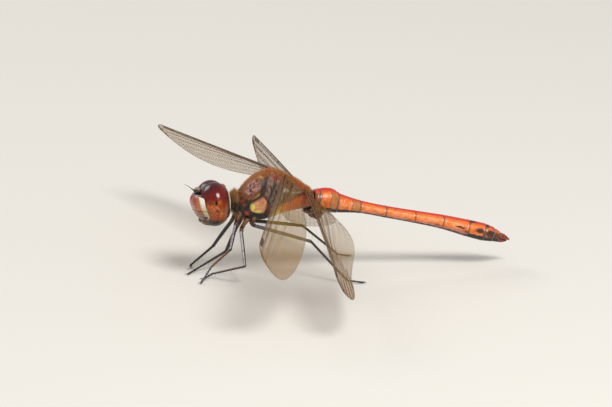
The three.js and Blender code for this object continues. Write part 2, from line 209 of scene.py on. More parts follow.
# The knuckles that hinge each wing: share of the way back along its root, girth and colour.
KNUCKLES = [
    (0.03, 0.14, "#3a1e14"),
    (0.3, 0.12, "#4c1e18"),
    (0.6, 0.1, "#2a1710"),
    (0.92, 0.07, "#5a3a1c"),
]

# Legs: coxa top, hip, knee, ankle and toe of each.
LEGS = {
    "foreleg_l": [(-14.3, -0.75, 8.1), (-14.73, -0.8, 6.6), (-16.0, -3.5, 4.28), (-17.74, -1.8, 1.8),
                  (-19.29, -2.94, 0)],
    "foreleg_r": [(-14.3, 0.75, 8.1), (-14.73, 0.8, 6.6), (-16.6, 2.4, 2.94), (-19.35, 2.2, 0.75),
                  (-18.9, 3.7, 0)],
    "midleg_l": [(-13.3, -0.85, 7.3), (-14.11, -0.8, 5.9), (-14.4, -4.4, 2.45), (-17.36, -0.94, 0.62),
                 (-18.7, -1.4, 0)],
    "midleg_r": [(-13.3, 0.85, 7.3), (-14.11, 0.8, 5.9), (-15.0, 2.5, 2.2), (-18.17, 2.1, 0.55),
                 (-20.0, 0.75, 0)],
    "hindleg_l": [(-12.5, -0.95, 7.6), (-13.0, -0.85, 6.42), (-6.12, -3.0, 4.69), (-2.2, -5.3, 0.45),
                  (-0.2, -5.4, 0)],
    "hindleg_r": [(-12.5, 0.95, 7.6), (-13.0, 0.85, 6.42), (-5.75, 2.5, 4.92), (-0.75, 4.6, 0.5),
                  (0.8, 5.2, 0)],
}

TARSUS_JOINTS = (0.0, 0.22, 0.52, 1.0)
# Stripes of the near legs, which are paler than the rest; on the femora a real stripe whitened by a painted
# glint
FEMUR_STRIPES_AND_GLINTS = {"foreleg_l": "#b3aab0", "midleg_l": "#cfcaca"}
SHIN_STRIPES = {"foreleg_l": "#b5713a", "midleg_l": "#a08468"}

# Soft lamps: direction from the animal, width in metres and power in watts.
LAMPS = [("key", (0.148, -0.557, 0.81), 0.17, 1.75), ("rim", (-0.5, 0.7, 0.6), 0.2, 0.5)]
LAMP_DISTANCE = 0.5
SKY_STRENGTH = 0.45
FLOOR_REACH = 4.0  # metres from the middle of the floor to its edge
AIM = Vector((-6.1, 0.0, 8.45))  # the point that the camera looks at, in millimetres

low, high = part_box("prothorax")
ORIGIN = Vector((low.x - PROTHORAX_FRONT * MM, (low.y + high.y) / 2, 0.0))
TO_METRES = Matrix.Translation(ORIGIN) @ Matrix.Scale(MM, 4)
HEAD_TILT = (
    Matrix.Translation(HEAD_CENTRE) @ Matrix.Rotation(HEAD_ROLL, 4, "X") @ Matrix.Translation(-HEAD_CENTRE)
)
UPRIGHT = Matrix.Identity(4)

# How finely the larger walls are divided: steps round and steps along.
EYE_GRID = (180, 120)
FACE_GRID = (112, 80)
THORAX_GRID = (320, 220)
SEGMENT_GRID = (144, 96)

# Hair: how many grow where the user has no say, and how wide each is at its root, in millimetres.
COLLAR_HAIRS = 2000
FACE_HAIRS = 260
SEGMENT_HAIRS = {0: 700, 1: 900}
HAIR_WIDTH = {"thorax": 0.018, "collar": 0.016, "face": 0.014, "abdomen": 0.02}
BAKE_PATCH = 0.003  # width of one hair's patch of the bake map


# ------------------------------------------------------------------ colour and number helpers


def linear(hex_colour):
    """An sRGB hex colour as a linear Vector."""
    channels = [int(hex_colour[i : i + 2], 16) / 255 for i in (1, 3, 5)]
    return Vector([c / 12.92 if c <= 0.04045 else ((c + 0.055) / 1.055) ** 2.4 for c in channels])


def paint(colour, mark, share):
    """The colour, covered by a mark's colour, in sRGB hex or linear, as far as the share says."""
    return colour.lerp(linear(mark) if isinstance(mark, str) else mark, share)


def ease(value, start, end):
    """0 before start, 1 after end, smooth between them; start may be the larger."""
    share = min(1.0, max(0.0, (value - start) / (end - start)))
    return share * share * (3 - 2 * share)


def soft_limit(value, limit, blend):
    """The value, held under the limit with a rounded shoulder."""
    over = (value - limit + blend) / blend
    return value if over <= 0 else limit - blend + blend * (1 - math.exp(-over))


def squared(value, exponent):
    """A sine or cosine bent towards a superellipse."""
    return math.copysign(abs(value) ** (2 / exponent), value)


def smooth_rows(rows):
    """A smooth function through rows of numbers: t = 0 gives the first row and 1 the last."""

    def at(t):
        reach = min(max(t, 0.0), 1.0) * (len(rows) - 1)
        i = min(int(reach), len(rows) - 2)
        f = reach - i
        four = (rows[max(i - 1, 0)], rows[i], rows[i + 1], rows[min(i + 2, len(rows) - 1)])
        values = []
        for a, b, c, d in zip(*four):
            v0, v1 = (c - a) / 2, (d - b) / 2
            cubic = 2 * b - 2 * c + v0 + v1
            square = 3 * c - 3 * b - 2 * v0 - v1
            values.append(cubic * f**3 + square * f**2 + v0 * f + b)
        return values

    return at


def capped(t, cap, dome):
    """Station along a round-ended tube, and its share of the full radius there."""
    if t < cap:
        turn = t / cap * math.pi / 2
        return dome * (1 - math.cos(turn)), math.sin(turn)
    if t > 1 - cap:
        station, share = capped(1 - t, cap, dome)
        return 1 - station, share
    return dome + (1 - 2 * dome) * (t - cap) / (1 - 2 * cap), 1.0


def spot(point, centre, half, edge=0.35):
    """1 inside an ellipse or ellipsoid and 0 outside, over an edge that is a share of its size."""
    reach = math.sqrt(sum(((p - c) / h) ** 2 for p, c, h in zip(point, centre, half)))
    return 1 - ease(reach, 1 - edge, 1 + edge)


def off_line(point, line):
    """Distance in a plane from a point to a line of points."""
    best = math.inf
    for (ax, az), (bx, bz) in zip(line, line[1:]):
        run = Vector((bx - ax, bz - az))
        start = Vector((point[0] - ax, point[1] - az))
        share = min(1.0, max(0.0, start.dot(run) / run.length_squared))
        best = min(best, (start - run * share).length)
    return best


def blotch(point, size):
    """Smooth noise from -1 to 1 with lumps of the given size in millimetres."""
    return noise.noise(Vector(point) / size)


# ------------------------------------------------------------------ mesh helpers


def new_mesh():
    """An empty bmesh in millimetres, whose vertices carry their pigment."""
    bm = bmesh.new()
    bm.verts.layers.float_color.new("tint")
    return bm


def ball(bm, around, along, place, tint):
    """A ball whose vertices move to place(t, angle): t runs from pole to pole, the angle goes round."""
    layer = bm.verts.layers.float_color["tint"]
    made = bmesh.ops.create_uvsphere(bm, u_segments=around, v_segments=along, radius=1.0)
    for vert in made["verts"]:
        t = 0.5 + math.asin(min(1.0, max(-1.0, vert.co.z))) / math.pi
        angle = math.atan2(vert.co.y, vert.co.x)
        vert.co = place(t, angle)
        vert[layer] = (*tint(vert.co, t, angle), 1.0)


def ellipsoid(bm, centre, half, tint, around=28, along=18):
    """A plain rounded knob."""

    def place(t, angle):
        rise = (t - 0.5) * math.pi
        level = math.cos(rise)
        reach = Vector((level * math.cos(angle), level * math.sin(angle), math.sin(rise)))
        return Vector(centre) + Vector([r * h for r, h in zip(reach, half)])

    ball(bm, around, along, place, tint)


def rod(bm, path, radius, around, along, tint, cap=0.08, dome=0.03, up=Vector((0, 0, 1))):
    """A round-ended limb along path(s), of radius(s, angle); angle 90 degrees is its upper side."""

    def place(t, angle):
        s, share = capped(t, cap, dome)
        step = 0.01
        run = (path(min(1.0, s + step)) - path(max(0.0, s - step))).normalized()
        side = run.cross(up).normalized()
        reach = radius(s, angle) * share
        return path(s) + (side * math.cos(angle) + side.cross(run) * math.sin(angle)) * reach

    ball(bm, around, along, place, tint)


def spike(bm, root, tip, width, colour, sides):
    """A slender cone from root to tip."""
    layer = bm.verts.layers.float_color["tint"]
    run = tip - root
    stand = Matrix.Translation((root + tip) / 2) @ run.to_track_quat("Z", "Y").to_matrix().to_4x4()
    made = bmesh.ops.create_cone(
        bm, cap_ends=True, segments=sides, radius1=width / 2, radius2=width / 16, depth=run.length,
        matrix=stand,
    )
    for vert in made["verts"]:
        vert[layer] = (*colour, 1.0)


def straight(start, end):
    """A path from start to end."""
    return lambda s: start.lerp(end, s)


def bowed(start, end, bow):
    """A path from start to end that bulges by bow in the middle."""
    return lambda s: start.lerp(end, s) + bow * (4 * s * (1 - s))


def constant(colour):
    """A tint that is the same all over."""
    return lambda point, t, angle: colour


def add_piece(mesh, material, nodes=()):
    """Sets a finished mesh on the model, in place of the named nodes."""
    mesh.materials.append(material)
    piece = bpy.data.objects.new(mesh.name, mesh)
    bpy.context.collection.objects.link(piece)
    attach(piece, "root")
    if nodes:
        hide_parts(*nodes)


def finish_piece(name, bm, material, nodes=(), tilt=UPRIGHT):
    """Turns a bmesh into a shaded piece in metres that stands for the named nodes."""
    bm.transform(TO_METRES @ tilt)
    bmesh.ops.recalc_face_normals(bm, faces=bm.faces)
    mesh = bpy.data.meshes.new(name)
    bm.to_mesh(mesh)
    bm.free()
    mesh.shade_smooth()
    add_piece(mesh, material, nodes)


# ------------------------------------------------------------------ materials


def add_node(material, kind, values=(), links=()):
    """One shader node with its settings, its socket values and the outputs that feed it."""
    node = material.node_tree.nodes.new(kind)
    for key, value in dict(values).items():
        if isinstance(key, str) and hasattr(node, key):
            setattr(node, key, value)
        else:
            node.inputs[key].default_value = value
    for key, output in dict(links).items():
        material.node_tree.links.new(output, node.inputs[key])
    return node


def new_material(name):
    """A material with only its surface shader, and that shader."""
    material = bpy.data.materials.new(name)
    material.use_nodes = True
    return material, material.node_tree.nodes["Principled BSDF"]


def join(material, output, shader, socket):
    """Feeds one of the shader's sockets."""
    material.node_tree.links.new(output, shader.inputs[socket])


def mottled_pigment(material, shader, size, detail, rough, low, high):
    """Feeds the base colour with the pigment, from low to high in brightness, in clouds of a size in mm.

    It gives back the coordinates and the clouds, which the relief and the polish follow too.
    """
    pigment = add_node(material, "ShaderNodeAttribute", {"attribute_name": "tint"})
    place = add_node(material, "ShaderNodeTexCoord").outputs["Object"]
    cloud = add_node(
        material, "ShaderNodeTexNoise", {"Scale": 1 / (size * MM), "Detail": detail, "Roughness": rough},
        {"Vector": place},
    ).outputs["Fac"]
    shade = add_node(
        material, "ShaderNodeMapRange", {"From Min": 0.3, "From Max": 0.7, "To Min": low, "To Max": high},
        {"Value": cloud},
    )
    colour = add_node(
        material, "ShaderNodeMix", {"data_type": "RGBA", "blend_type": "MULTIPLY", 0: 1.0},
        {6: pigment.outputs["Color"], 7: shade.outputs["Result"]},
    )
    join(material, colour.outputs[2], shader, "Base Color")
    return place, cloud


def cuticle(name, roughness, mottle, mottle_depth, pit, pit_depth, coat=0.0):
    """Chitin cuticle: pigment under a hard waxy skin, mottled and finely pitted.

    The mottle and pit sizes are in millimetres. It gives clear highlights that break up at the pits.
    """
    material, shader = new_material(name)
    darkest, lightest = 1 - mottle_depth, 1 + mottle_depth / 2
    place, cloud = mottled_pigment(material, shader, mottle, 5.0, 0.65, darkest, lightest)
    cells = add_node(
        material, "ShaderNodeTexVoronoi", {"Scale": 1 / (pit * MM), "Randomness": 0.8}, {"Vector": place}
    )
    polish = add_node(
        material, "ShaderNodeMapRange", {"To Min": roughness - 0.08, "To Max": roughness + 0.1},
        {"Value": cloud},
    )
    join(material, polish.outputs["Result"], shader, "Roughness")
    relief = add_node(
        material, "ShaderNodeBump", {"Strength": 1.0, "Distance": pit_depth * MM},
        {"Height": cells.outputs["Distance"]},
    )
    join(material, relief.outputs["Normal"], shader, "Normal")
    shader.inputs["IOR"].default_value = 1.54
    shader.inputs["Coat Weight"].default_value = coat
    shader.inputs["Coat Roughness"].default_value = 0.12
    return material


def cornea(name):
    """Compound eye lens: thousands of clear hexagonal facets over dark pigment, as bright as glass.

    Real facets are 0.03 mm across. They are drawn at 0.07 mm, or they would not show.
    """
    material, shader = new_material(name)
    place, _ = mottled_pigment(material, shader, 0.7, 4.0, 0.6, 0.72, 1.2)
    facets = add_node(
        material, "ShaderNodeTexVoronoi",
        {"feature": "SMOOTH_F1", "Scale": 1 / (0.07 * MM), "Randomness": 0.15, "Smoothness": 0.2},
        {"Vector": place},
    )
    relief = add_node(
        material, "ShaderNodeBump", {"Strength": 0.5, "Distance": 0.004 * MM, "invert": True},
        {"Height": facets.outputs["Distance"]},
    )
    join(material, relief.outputs["Normal"], shader, "Normal")
    shader.inputs["Roughness"].default_value = 0.18
    shader.inputs["IOR"].default_value = 1.38
    shader.inputs["Coat Weight"].default_value = 0.25
    shader.inputs["Coat Roughness"].default_value = 0.06
    return material


def setae(name):
    """Insect hair: fine hollow chitin bristles, whose many edges give a soft golden sheen."""
    material, shader = new_material(name)
    pigment = add_node(material, "ShaderNodeAttribute", {"attribute_name": "tint"})
    join(material, pigment.outputs["Color"], shader, "Base Color")
    shader.inputs["Roughness"].default_value = 0.55
    shader.inputs["Sheen Weight"].default_value = 0.3
    return material


def membrane(name):
    """Wing membrane: two layers of clear cuticle, smoky with age, wrinkled a little in each cell."""
    material, shader = new_material(name)
    pigment = add_node(material, "ShaderNodeAttribute", {"attribute_name": "tint"})
    place = add_node(material, "ShaderNodeTexCoord")
    join(material, pigment.outputs["Color"], shader, "Base Color")
    wrinkle = add_node(
        material, "ShaderNodeTexNoise", {"Scale": 1 / (0.5 * MM), "Detail": 2.0},
        {"Vector": place.outputs["Object"]},
    )
    relief = add_node(
        material, "ShaderNodeBump", {"Strength": 0.6, "Distance": 0.05 * MM},
        {"Height": wrinkle.outputs["Fac"]},
    )
    join(material, relief.outputs["Normal"], shader, "Normal")
    join(material, pigment.outputs["Alpha"], shader, "Alpha")
    shader.inputs["Roughness"].default_value = 0.22
    shader.inputs["IOR"].default_value = 1.56
    return material


# ------------------------------------------------------------------ settings


def colour_setting(name, description, hex_colour):
    """A colour the user may change."""
    return bpy.props.FloatVectorProperty(
        name=name, description=description, default=linear(hex_colour), size=3, subtype="COLOR",
        min=0, max=1,
    )


def length_setting(name, description, millimetres):
    """A length the user may change."""
    return bpy.props.FloatProperty(
        name=name, description=description, default=millimetres * MM, min=0.0, unit="LENGTH"
    )


def angle_setting(name, description, degrees):
    """An angle the user may change."""
    return bpy.props.FloatProperty(
        name=name, description=description, default=math.radians(degrees), subtype="ANGLE"
    )


class DragonflyBodySettings(bpy.types.PropertyGroup):
    """Colours and depths of the head, trunk and abdomen."""

    coat_depth: length_setting("Coat depth", "How far the thorax wall lies under the tips of its hair", 0.28)
    suture_depth: length_setting("Suture depth", "Depth of the grooves between the thorax plates", 0.13)
    hair_count: bpy.props.IntProperty(
        name="Thorax hairs", description="Number of hairs on the thorax", default=14000, min=100
    )
    eye_top: colour_setting("Upper eye", "Pigment of the upper part of each eye", "#6c0f0a")
    eye_bottom: colour_setting("Lower eye", "Pigment of the lower part of each eye", "#93431b")
    abdomen_top: colour_setting("Abdomen top", "Pigment along the back of the abdomen", "#d6230f")
    abdomen_side: colour_setting("Abdomen side", "Pigment of the sides of the abdomen", "#f07a22")


class DragonflyWingSettings(bpy.types.PropertyGroup):
    """Sizes and colours of the wings."""

    thickness: length_setting("Membrane thickness", "Thickness of the clear sheet", 0.02)
    vein: length_setting("Vein width", "Width of the small veins", 0.034)
    cell: length_setting("Cell length", "Spacing of the cross veins", 0.62)
    opacity: bpy.props.FloatProperty(
        name="Membrane opacity", description="Opacity of one face of the membrane", default=0.27,
        min=0.0, max=1.0, subtype="FACTOR",
    )
    smoke: colour_setting("Membrane", "Colour of the membrane", "#ae840c")
    dark: colour_setting("Veins", "Colour of the veins", "#543214")
    stigma: colour_setting("Stigma", "Colour of the dark cell near the tip", "#3c1d14")


class DragonflyLegSettings(bpy.types.PropertyGroup):
    """Sizes and colours of the legs."""

    spine: length_setting("Spine length", "Length of the bristles on the shins", 0.5)
    dark: colour_setting("Legs", "Main colour of the legs", "#15100e")


class DragonflyStageSettings(bpy.types.PropertyGroup):
    """Camera and floor."""

    azimuth: angle_setting("Azimuth", "Camera direction round the animal, from its left side", -14.6)
    elevation: angle_setting("Elevation", "Camera height as an angle", 17.0)
    roll: angle_setting("Roll", "Turn of the camera about its view", 1.9)
    view_width: length_setting("View width", "Width of what the camera sees at the animal", 72)
    distance: length_setting("Distance", "From the camera to the animal", 1200)
    floor: colour_setting("Floor", "Colour of the floor", "#e6e1d8")


# ------------------------------------------------------------------ head


def eye_front(y, z):
    """The x of the eyes' front at a distance from the midline and a height."""
    out = (abs(y) - EYE_OUT) / EYE_HALF.y
    rise = (z - HEAD_CENTRE.z) / EYE_HALF.z
    return HEAD_CENTRE.x - EYE_HALF.x * math.sqrt(max(0.0, 1 - out * out - rise * rise))


def eye_tint(side, settings):
    """Maroon above, mottled orange-brown below, black round the lower rim, with painted black false pupils.
    """
    top, bottom = Vector(settings.eye_top), Vector(settings.eye_bottom)
    rim, bright, black, purple = (linear(c) for c in ("#150605", "#cf722e", "#080303", "#300a16"))

    def tint(point, t, angle):
        rise = (point.z - HEAD_CENTRE.z) / EYE_HALF.z
        fore = (HEAD_CENTRE.x - point.x) / EYE_HALF.x
        drift = 0.2 * blotch(point, 0.8) + 0.1 * blotch(point, 0.3)
        colour = bottom.lerp(top, ease(rise + drift, -0.15, 0.45))
        colour = colour.lerp(purple, 0.8 * ease(rise + 0.4 * fore, 0.62, 1.0))
        for centre, half in EYE_LIGHTS:
            light = spot((point.x, point.z), centre, half, 0.8) * ease(blotch(point, 0.22), -0.35, 0.4)
            colour = colour.lerp(bright, 0.7 * light)
        dark = ease(blotch((point.x * 2.2, point.y, point.z), 0.3), 0.1, 0.6) * ease(rise, 0.25, -0.2)
        colour = colour.lerp(rim, 0.4 * dark)
        colour = colour.lerp(rim, ease(rise - 0.25 * fore + 0.5 * drift, -0.62, -0.82))
        colour = colour.lerp(rim, 0.85 * ease(fore - 0.3 * rise, 0.72, 0.86))
        colour = colour.lerp(rim, 0.8 * ease(fore, -0.5, -0.66))
        # Painted shade: the false pupils, dark where the facets look straight at the camera, only on the eye
        # that faces it
        for x, z, wide, tall, depth in FALSE_PUPILS:
            pupil = spot((point.x, point.z), (x, z), (wide, tall), 0.4)
            colour = colour.lerp(black, depth * pupil * (side * point.y > 1.5))
        return colour

    return tint


def build_eye(side, letter, material, settings):
    """One compound eye, meeting its twin at the crown and cut flat behind."""

    def place(t, angle):
        rise = (t - 0.5) * math.pi
        level = math.cos(rise)
        out = EYE_OUT + EYE_HALF.y * level * math.sin(angle)
        out = -soft_limit(-out, -0.015, 0.12)
        x = HEAD_CENTRE.x + EYE_HALF.x * level * math.cos(angle)
        x = soft_limit(x, EYE_REAR, 0.25)
        return Vector((x, side * out, HEAD_CENTRE.z + EYE_HALF.z * math.sin(rise)))

    bm = new_mesh()
    ball(bm, *EYE_GRID, place, eye_tint(side, settings))
    finish_piece(f"eye_lens_{letter}", bm, material, [f"eye_{letter}"], HEAD_TILT)


FACE_AT = smooth_rows(FACE)
FACE_TABLE = np.array([FACE_AT(i / 200) for i in range(201)])


def face_section(z):
    """Front and half width of the face at a height."""
    return [float(np.interp(z, FACE_TABLE[:, 0], FACE_TABLE[:, column])) for column in (1, 2)]


def plate_wall(t, angle, low, high, furrow=0.0, seams=(), edge=0.05):
    """A point of a plate of the face between two heights, hugging the eyes at its sides."""
    station, share = capped(t, 0.1, edge)
    z = low + (high - low) * station
    front, half = face_section(z)
    side = squared(math.cos(angle), 2.4)
    rim = eye_front(half, z) - 0.04
    bulge = 1 - abs(side) ** 2.6
    x = rim + (front - rim) * bulge if math.sin(angle) >= 0 else rim - 1.2 * math.sin(angle)
    if math.sin(angle) > 0:
        x += furrow * math.exp(-((side * half / 0.2) ** 2)) * ease(station, 0.35, 0.8)
        for height, depth in seams:
            x += depth * math.exp(-(((z - height - 0.06 * side * side) / 0.045) ** 2)) * bulge
    core = rim + 0.4
    return Vector((core + (x - core) * share, side * half * share, z))


def cheek(point, half):
    """1 on the pale band that runs down each side of the face, beside the eye."""
    return ease(abs(point.y) + 0.06 * blotch(point, 0.3), half - 0.5, half - 0.4)


def frons_tint(point, t, angle):
    """Brick red in front, orange towards the cream bands by the eyes, black at the top."""
    half = face_section(point.z)[1]
    colour = paint(linear("#a63a1e"), "#c96c30", ease(abs(point.y), 0.7, half - 0.6))
    colour = paint(colour, "#c9702f", 0.8 * ease(point.z, 9.3, 8.5))
    colour = paint(colour, "#7c2413", 0.6 * ease(blotch(point, 0.4), 0.0, 0.5))
    # The pale band by each eye is real; it is painted whiter at the top where light falls, and greyer lower
    # down as painted shade
    pale = paint(linear("#f6f3e4"), "#c9c59e", ease(point.z, 9.4, 8.4))
    colour = colour.lerp(pale, cheek(point, half) * ease(point.z, 10.15, 9.95))
    return paint(colour, "#0e0806", ease(point.z + 0.3 * (point.x + 19.7), 10.03, 10.15))


def clypeus_tint(point, t, angle):
    """Orange-brown, dark in its seams and along the lip, with painted shade over its lower part, with pale
    cheeks.
    """
    half = face_section(point.z)[1]
    colour = paint(linear("#b4622a"), "#7c3b1a", ease(blotch(point, 0.35), -0.1, 0.5))
    # The pale band goes on down the clypeus in the greyer colour of its painted shade
    colour = paint(colour, "#c8c39e", cheek(point, half) * ease(point.z, 7.25, 7.45))
    for height, _ in LIP_SEAMS[1:]:
        seam = math.exp(-(((point.z - height - 0.06 * (point.y / half) ** 2) / 0.04) ** 2))
        seam *= 1 - 0.8 * cheek(point, half)
        colour = paint(colour, "#3a1a0e", 0.6 * seam)
    # Painted shade: the lower part of the face darkens towards the lip
    colour = paint(colour, "#43200f", 0.6 * ease(point.z, 7.9, 7.3))
    return paint(colour, "#2a130a", 0.85 * ease(point.z, 7.28, 7.12))


def labium_tint(point, t, angle):
    """Dark brown in the middle, ochre at the sides."""
    colour = paint(linear("#21100a"), "#7a4a22", ease(abs(point.y), 0.7, 1.2))
    return paint(colour, "#140805", ease(point.z, 6.75, 6.5))


def build_face(material):
    """Frons, clypeus with upper lip, and the lobes of the lower lip."""
    bm = new_mesh()
    ball(bm, *FACE_GRID, lambda t, angle: plate_wall(t, angle, *FRONS_SPAN, furrow=0.16), frons_tint)
    finish_piece("shell_frons", bm, material, ["frons"], HEAD_TILT)
    bm = new_mesh()
    lip = lambda t, angle: plate_wall(t, angle, *LIP_SPAN, seams=LIP_SEAMS, edge=0.1)
    ball(bm, *FACE_GRID, lip, clypeus_tint)
    finish_piece("shell_clypeus_labrum", bm, material, ["clypeus_labrum"], HEAD_TILT)
    bm = new_mesh()
    for side in (-1, 1):
        ellipsoid(bm, (-18.0, side * 0.78, 6.98), (0.95, 0.92, 0.5), labium_tint, 40, 26)
    ellipsoid(bm, (-17.95, 0.0, 6.83), (0.85, 0.34, 0.42), labium_tint)
    finish_piece("shell_labium", bm, material, ["labium"], HEAD_TILT)


def build_vertex(material):
    """The knob between the eyes with its three ocelli."""
    brown, black, pale = linear("#46271b"), linear("#0f0907"), linear("#b9967a")

    def tint(point, t, angle):
        # Brown, paler towards the top as a painted highlight, black at the base
        colour = brown.lerp(pale, 0.6 * ease(point.z, 10.62, 10.9))
        return colour.lerp(black, ease(point.z, 10.5, 10.34))

    bm = new_mesh()
    for side in (-1, 1):
        centre = VERTEX_CENTRE + Vector((0, side * 0.2, 0))
        ellipsoid(bm, centre, (VERTEX_HALF.x, VERTEX_HALF.y - 0.2, VERTEX_HALF.z), tint, 48, 32)
    bead = constant(linear("#3b2013"))
    ellipsoid(bm, (-19.58, 0.0, 10.52), (0.15, 0.19, 0.15), bead)
    for side in (-1, 1):
        ellipsoid(bm, (-19.3, side * 0.6, 10.5), (0.15, 0.12, 0.15), bead)
    finish_piece("shell_vertex", bm, material, ["vertex"], HEAD_TILT)


def build_head_back(material):
    """The hollowed rear wall of the head with its pale rim, and the occiput between the eyes."""
    pale, dark, ochre = linear("#e8e2cc"), linear("#15100d"), linear("#9a6a34")
    reach_y, reach_z = 2.5, 1.82

    def place(t, angle):
        turn = (t - 0.5) * math.pi
        share = math.cos(turn)
        thick = 0.26 * math.sin(turn)
        hollow = 0.22 * (1 - share) ** 0.7 if turn > 0 else 0
        y = reach_y * share * squared(math.cos(angle), 2.2)
        z = HEAD_CENTRE.z + reach_z * share * squared(math.sin(angle), 2.2)
        return Vector((EYE_REAR + 0.06 + thick - hollow, y, z))

    def tint(point, t, angle):
        reach = math.hypot(point.y / reach_y, (point.z - HEAD_CENTRE.z) / reach_z)
        colour = dark.lerp(ochre, spot((abs(point.y), point.z), (1.2, 8.4), (0.5, 0.45)))
        rim = pale.lerp(linear("#6a5a4c"), ease(point.z, 9.0, 8.2))
        return colour.lerp(rim, ease(reach, 0.8, 0.9))

    bm = new_mesh()
    ball(bm, 96, 60, place, tint)
    ellipsoid(bm, (-16.3, 0.0, 10.75), (0.5, 0.36, 0.5), constant(linear("#a5772f")))
    finish_piece("shell_head_back", bm, material, ["head_back"], HEAD_TILT)


def build_antenna(side, letter, material):
    """Two short base joints and a thin bristle."""
    dark = constant(linear("#140e0b"))
    flip = Vector((1, side, 1))
    root, tip = FEELER_ROOT * flip, FEELER_TIP * flip
    joint, pedicel = root.lerp(tip, 0.12), root.lerp(tip, 0.27)
    bm = new_mesh()
    rod(bm, straight(root.lerp(tip, -0.08), joint), lambda s, a: 0.1, 12, 10, dark, 0.25, 0.2)
    rod(bm, straight(joint, pedicel), lambda s, a: 0.08 - 0.02 * s, 12, 10, dark, 0.25, 0.2)
    bow = Vector((-0.05, side * 0.06, 0.14))
    rod(bm, bowed(pedicel, tip, bow), lambda s, a: 0.045 - 0.03 * s, 10, 30, dark)
    finish_piece(f"feeler_{letter}", bm, material, [f"antenna_{letter}"], HEAD_TILT)


# ------------------------------------------------------------------ thorax

PROTHORAX_AT = smooth_rows(PROTHORAX)
THORAX_AT = smooth_rows(THORAX)


def prothorax_wall(t, angle):
    """A point of the prothorax: two rings with a waist, and a raised hind lobe."""
    station, share = capped(t, 0.1, 0.04)
    x, top, bottom, half = PROTHORAX_AT(station)
    ring = 1 - 0.1 * math.exp(-(((station - 0.45) / 0.12) ** 2))
    lobe = 0.12 * ease(station, 0.6, 0.85) * max(0.0, math.sin(angle)) ** 2
    y = squared(math.cos(angle), TRUNK_SQUARENESS) * (half - 0.1) * ring * share
    z = squared(math.sin(angle), TRUNK_SQUARENESS) * ((top - bottom) / 2 - 0.1) * ring * share
    return Vector((x, y, (top + bottom) / 2 + z * (1 + lobe)))


def prothorax_tint(point, t, angle):
    """Brown above, black down the sides."""
    colour = paint(linear("#7a4a22"), "#18100c", ease(point.z, 9.6, 9.1))
    return paint(colour, "#a56a34", 0.7 * ease(point.z, 7.9, 7.6))


def thorax_groove(point):
    """How deep in a suture a point of the thorax lies, and how dark it is there."""
    depth = darkness = 0.0
    for line, width, dark in SUTURES:
        share = math.exp(-((off_line((point.x, point.z), line) / width) ** 2))
        depth = max(depth, share)
        darkness = max(darkness, share * dark)
    return depth, darkness


def thorax_wall(t, angle, shrink, suture):
    """A point of the thorax wall, with its plates, grooves and crests."""
    station, share = capped(t, 0.05, 0.02)
    x, top, bottom, half = THORAX_AT(station)
    side = squared(math.cos(angle), TRUNK_SQUARENESS)
    rise = squared(math.sin(angle), TRUNK_SQUARENESS)
    middle, reach = (top + bottom) / 2, (top - bottom) / 2 - shrink
    point = Vector((x, side * (half - shrink) * share, middle + rise * reach * share))
    out = Vector((0, side / half, 2 * rise / (top - bottom))).normalized() if share > 0 else Vector()
    flank = ease(abs(side), 0.25, 0.6)
    lift = -suture * thorax_groove(point)[0] * flank
    for cx, cz, long, tall, height in BOSSES:
        lift += height * spot((point.x, point.z), (cx, cz), (long, tall), 0.7) * flank
    if rise > 0:
        crest = math.exp(-((point.y / 0.1) ** 2)) * ease(point.x, -14.2, -13.6)
        lift += 0.1 * (crest * ease(point.x, -10.9, -11.5))
        for cx in (-10.3, -8.9, -7.4):
            lift += 0.16 * spot((point.x, abs(point.y)), (cx, 0.55), (0.55, 0.4), 0.6)
        for cx in (-11.1, -8.15):
            lift -= 0.14 * math.exp(-(((point.x - cx) / 0.16) ** 2)) * (1 - flank)
    lift += 0.02 * blotch(point, 0.5)
    return point + out * lift * share


def shoulder_spot(point, long, short, edge):
    """How far a point lies on the raised oval shoulder plate, which leans forward."""
    ahead, above = point.x - SHOULDER_CENTRE[0], point.z - SHOULDER_CENTRE[1]
    cosine, sine = math.cos(SHOULDER_LEAN), math.sin(SHOULDER_LEAN)
    here = (ahead * cosine + above * sine, above * cosine - ahead * sine)
    return spot(here, (0, 0), (long, short), edge) * ease(abs(point.y), 0.45, 0.8)


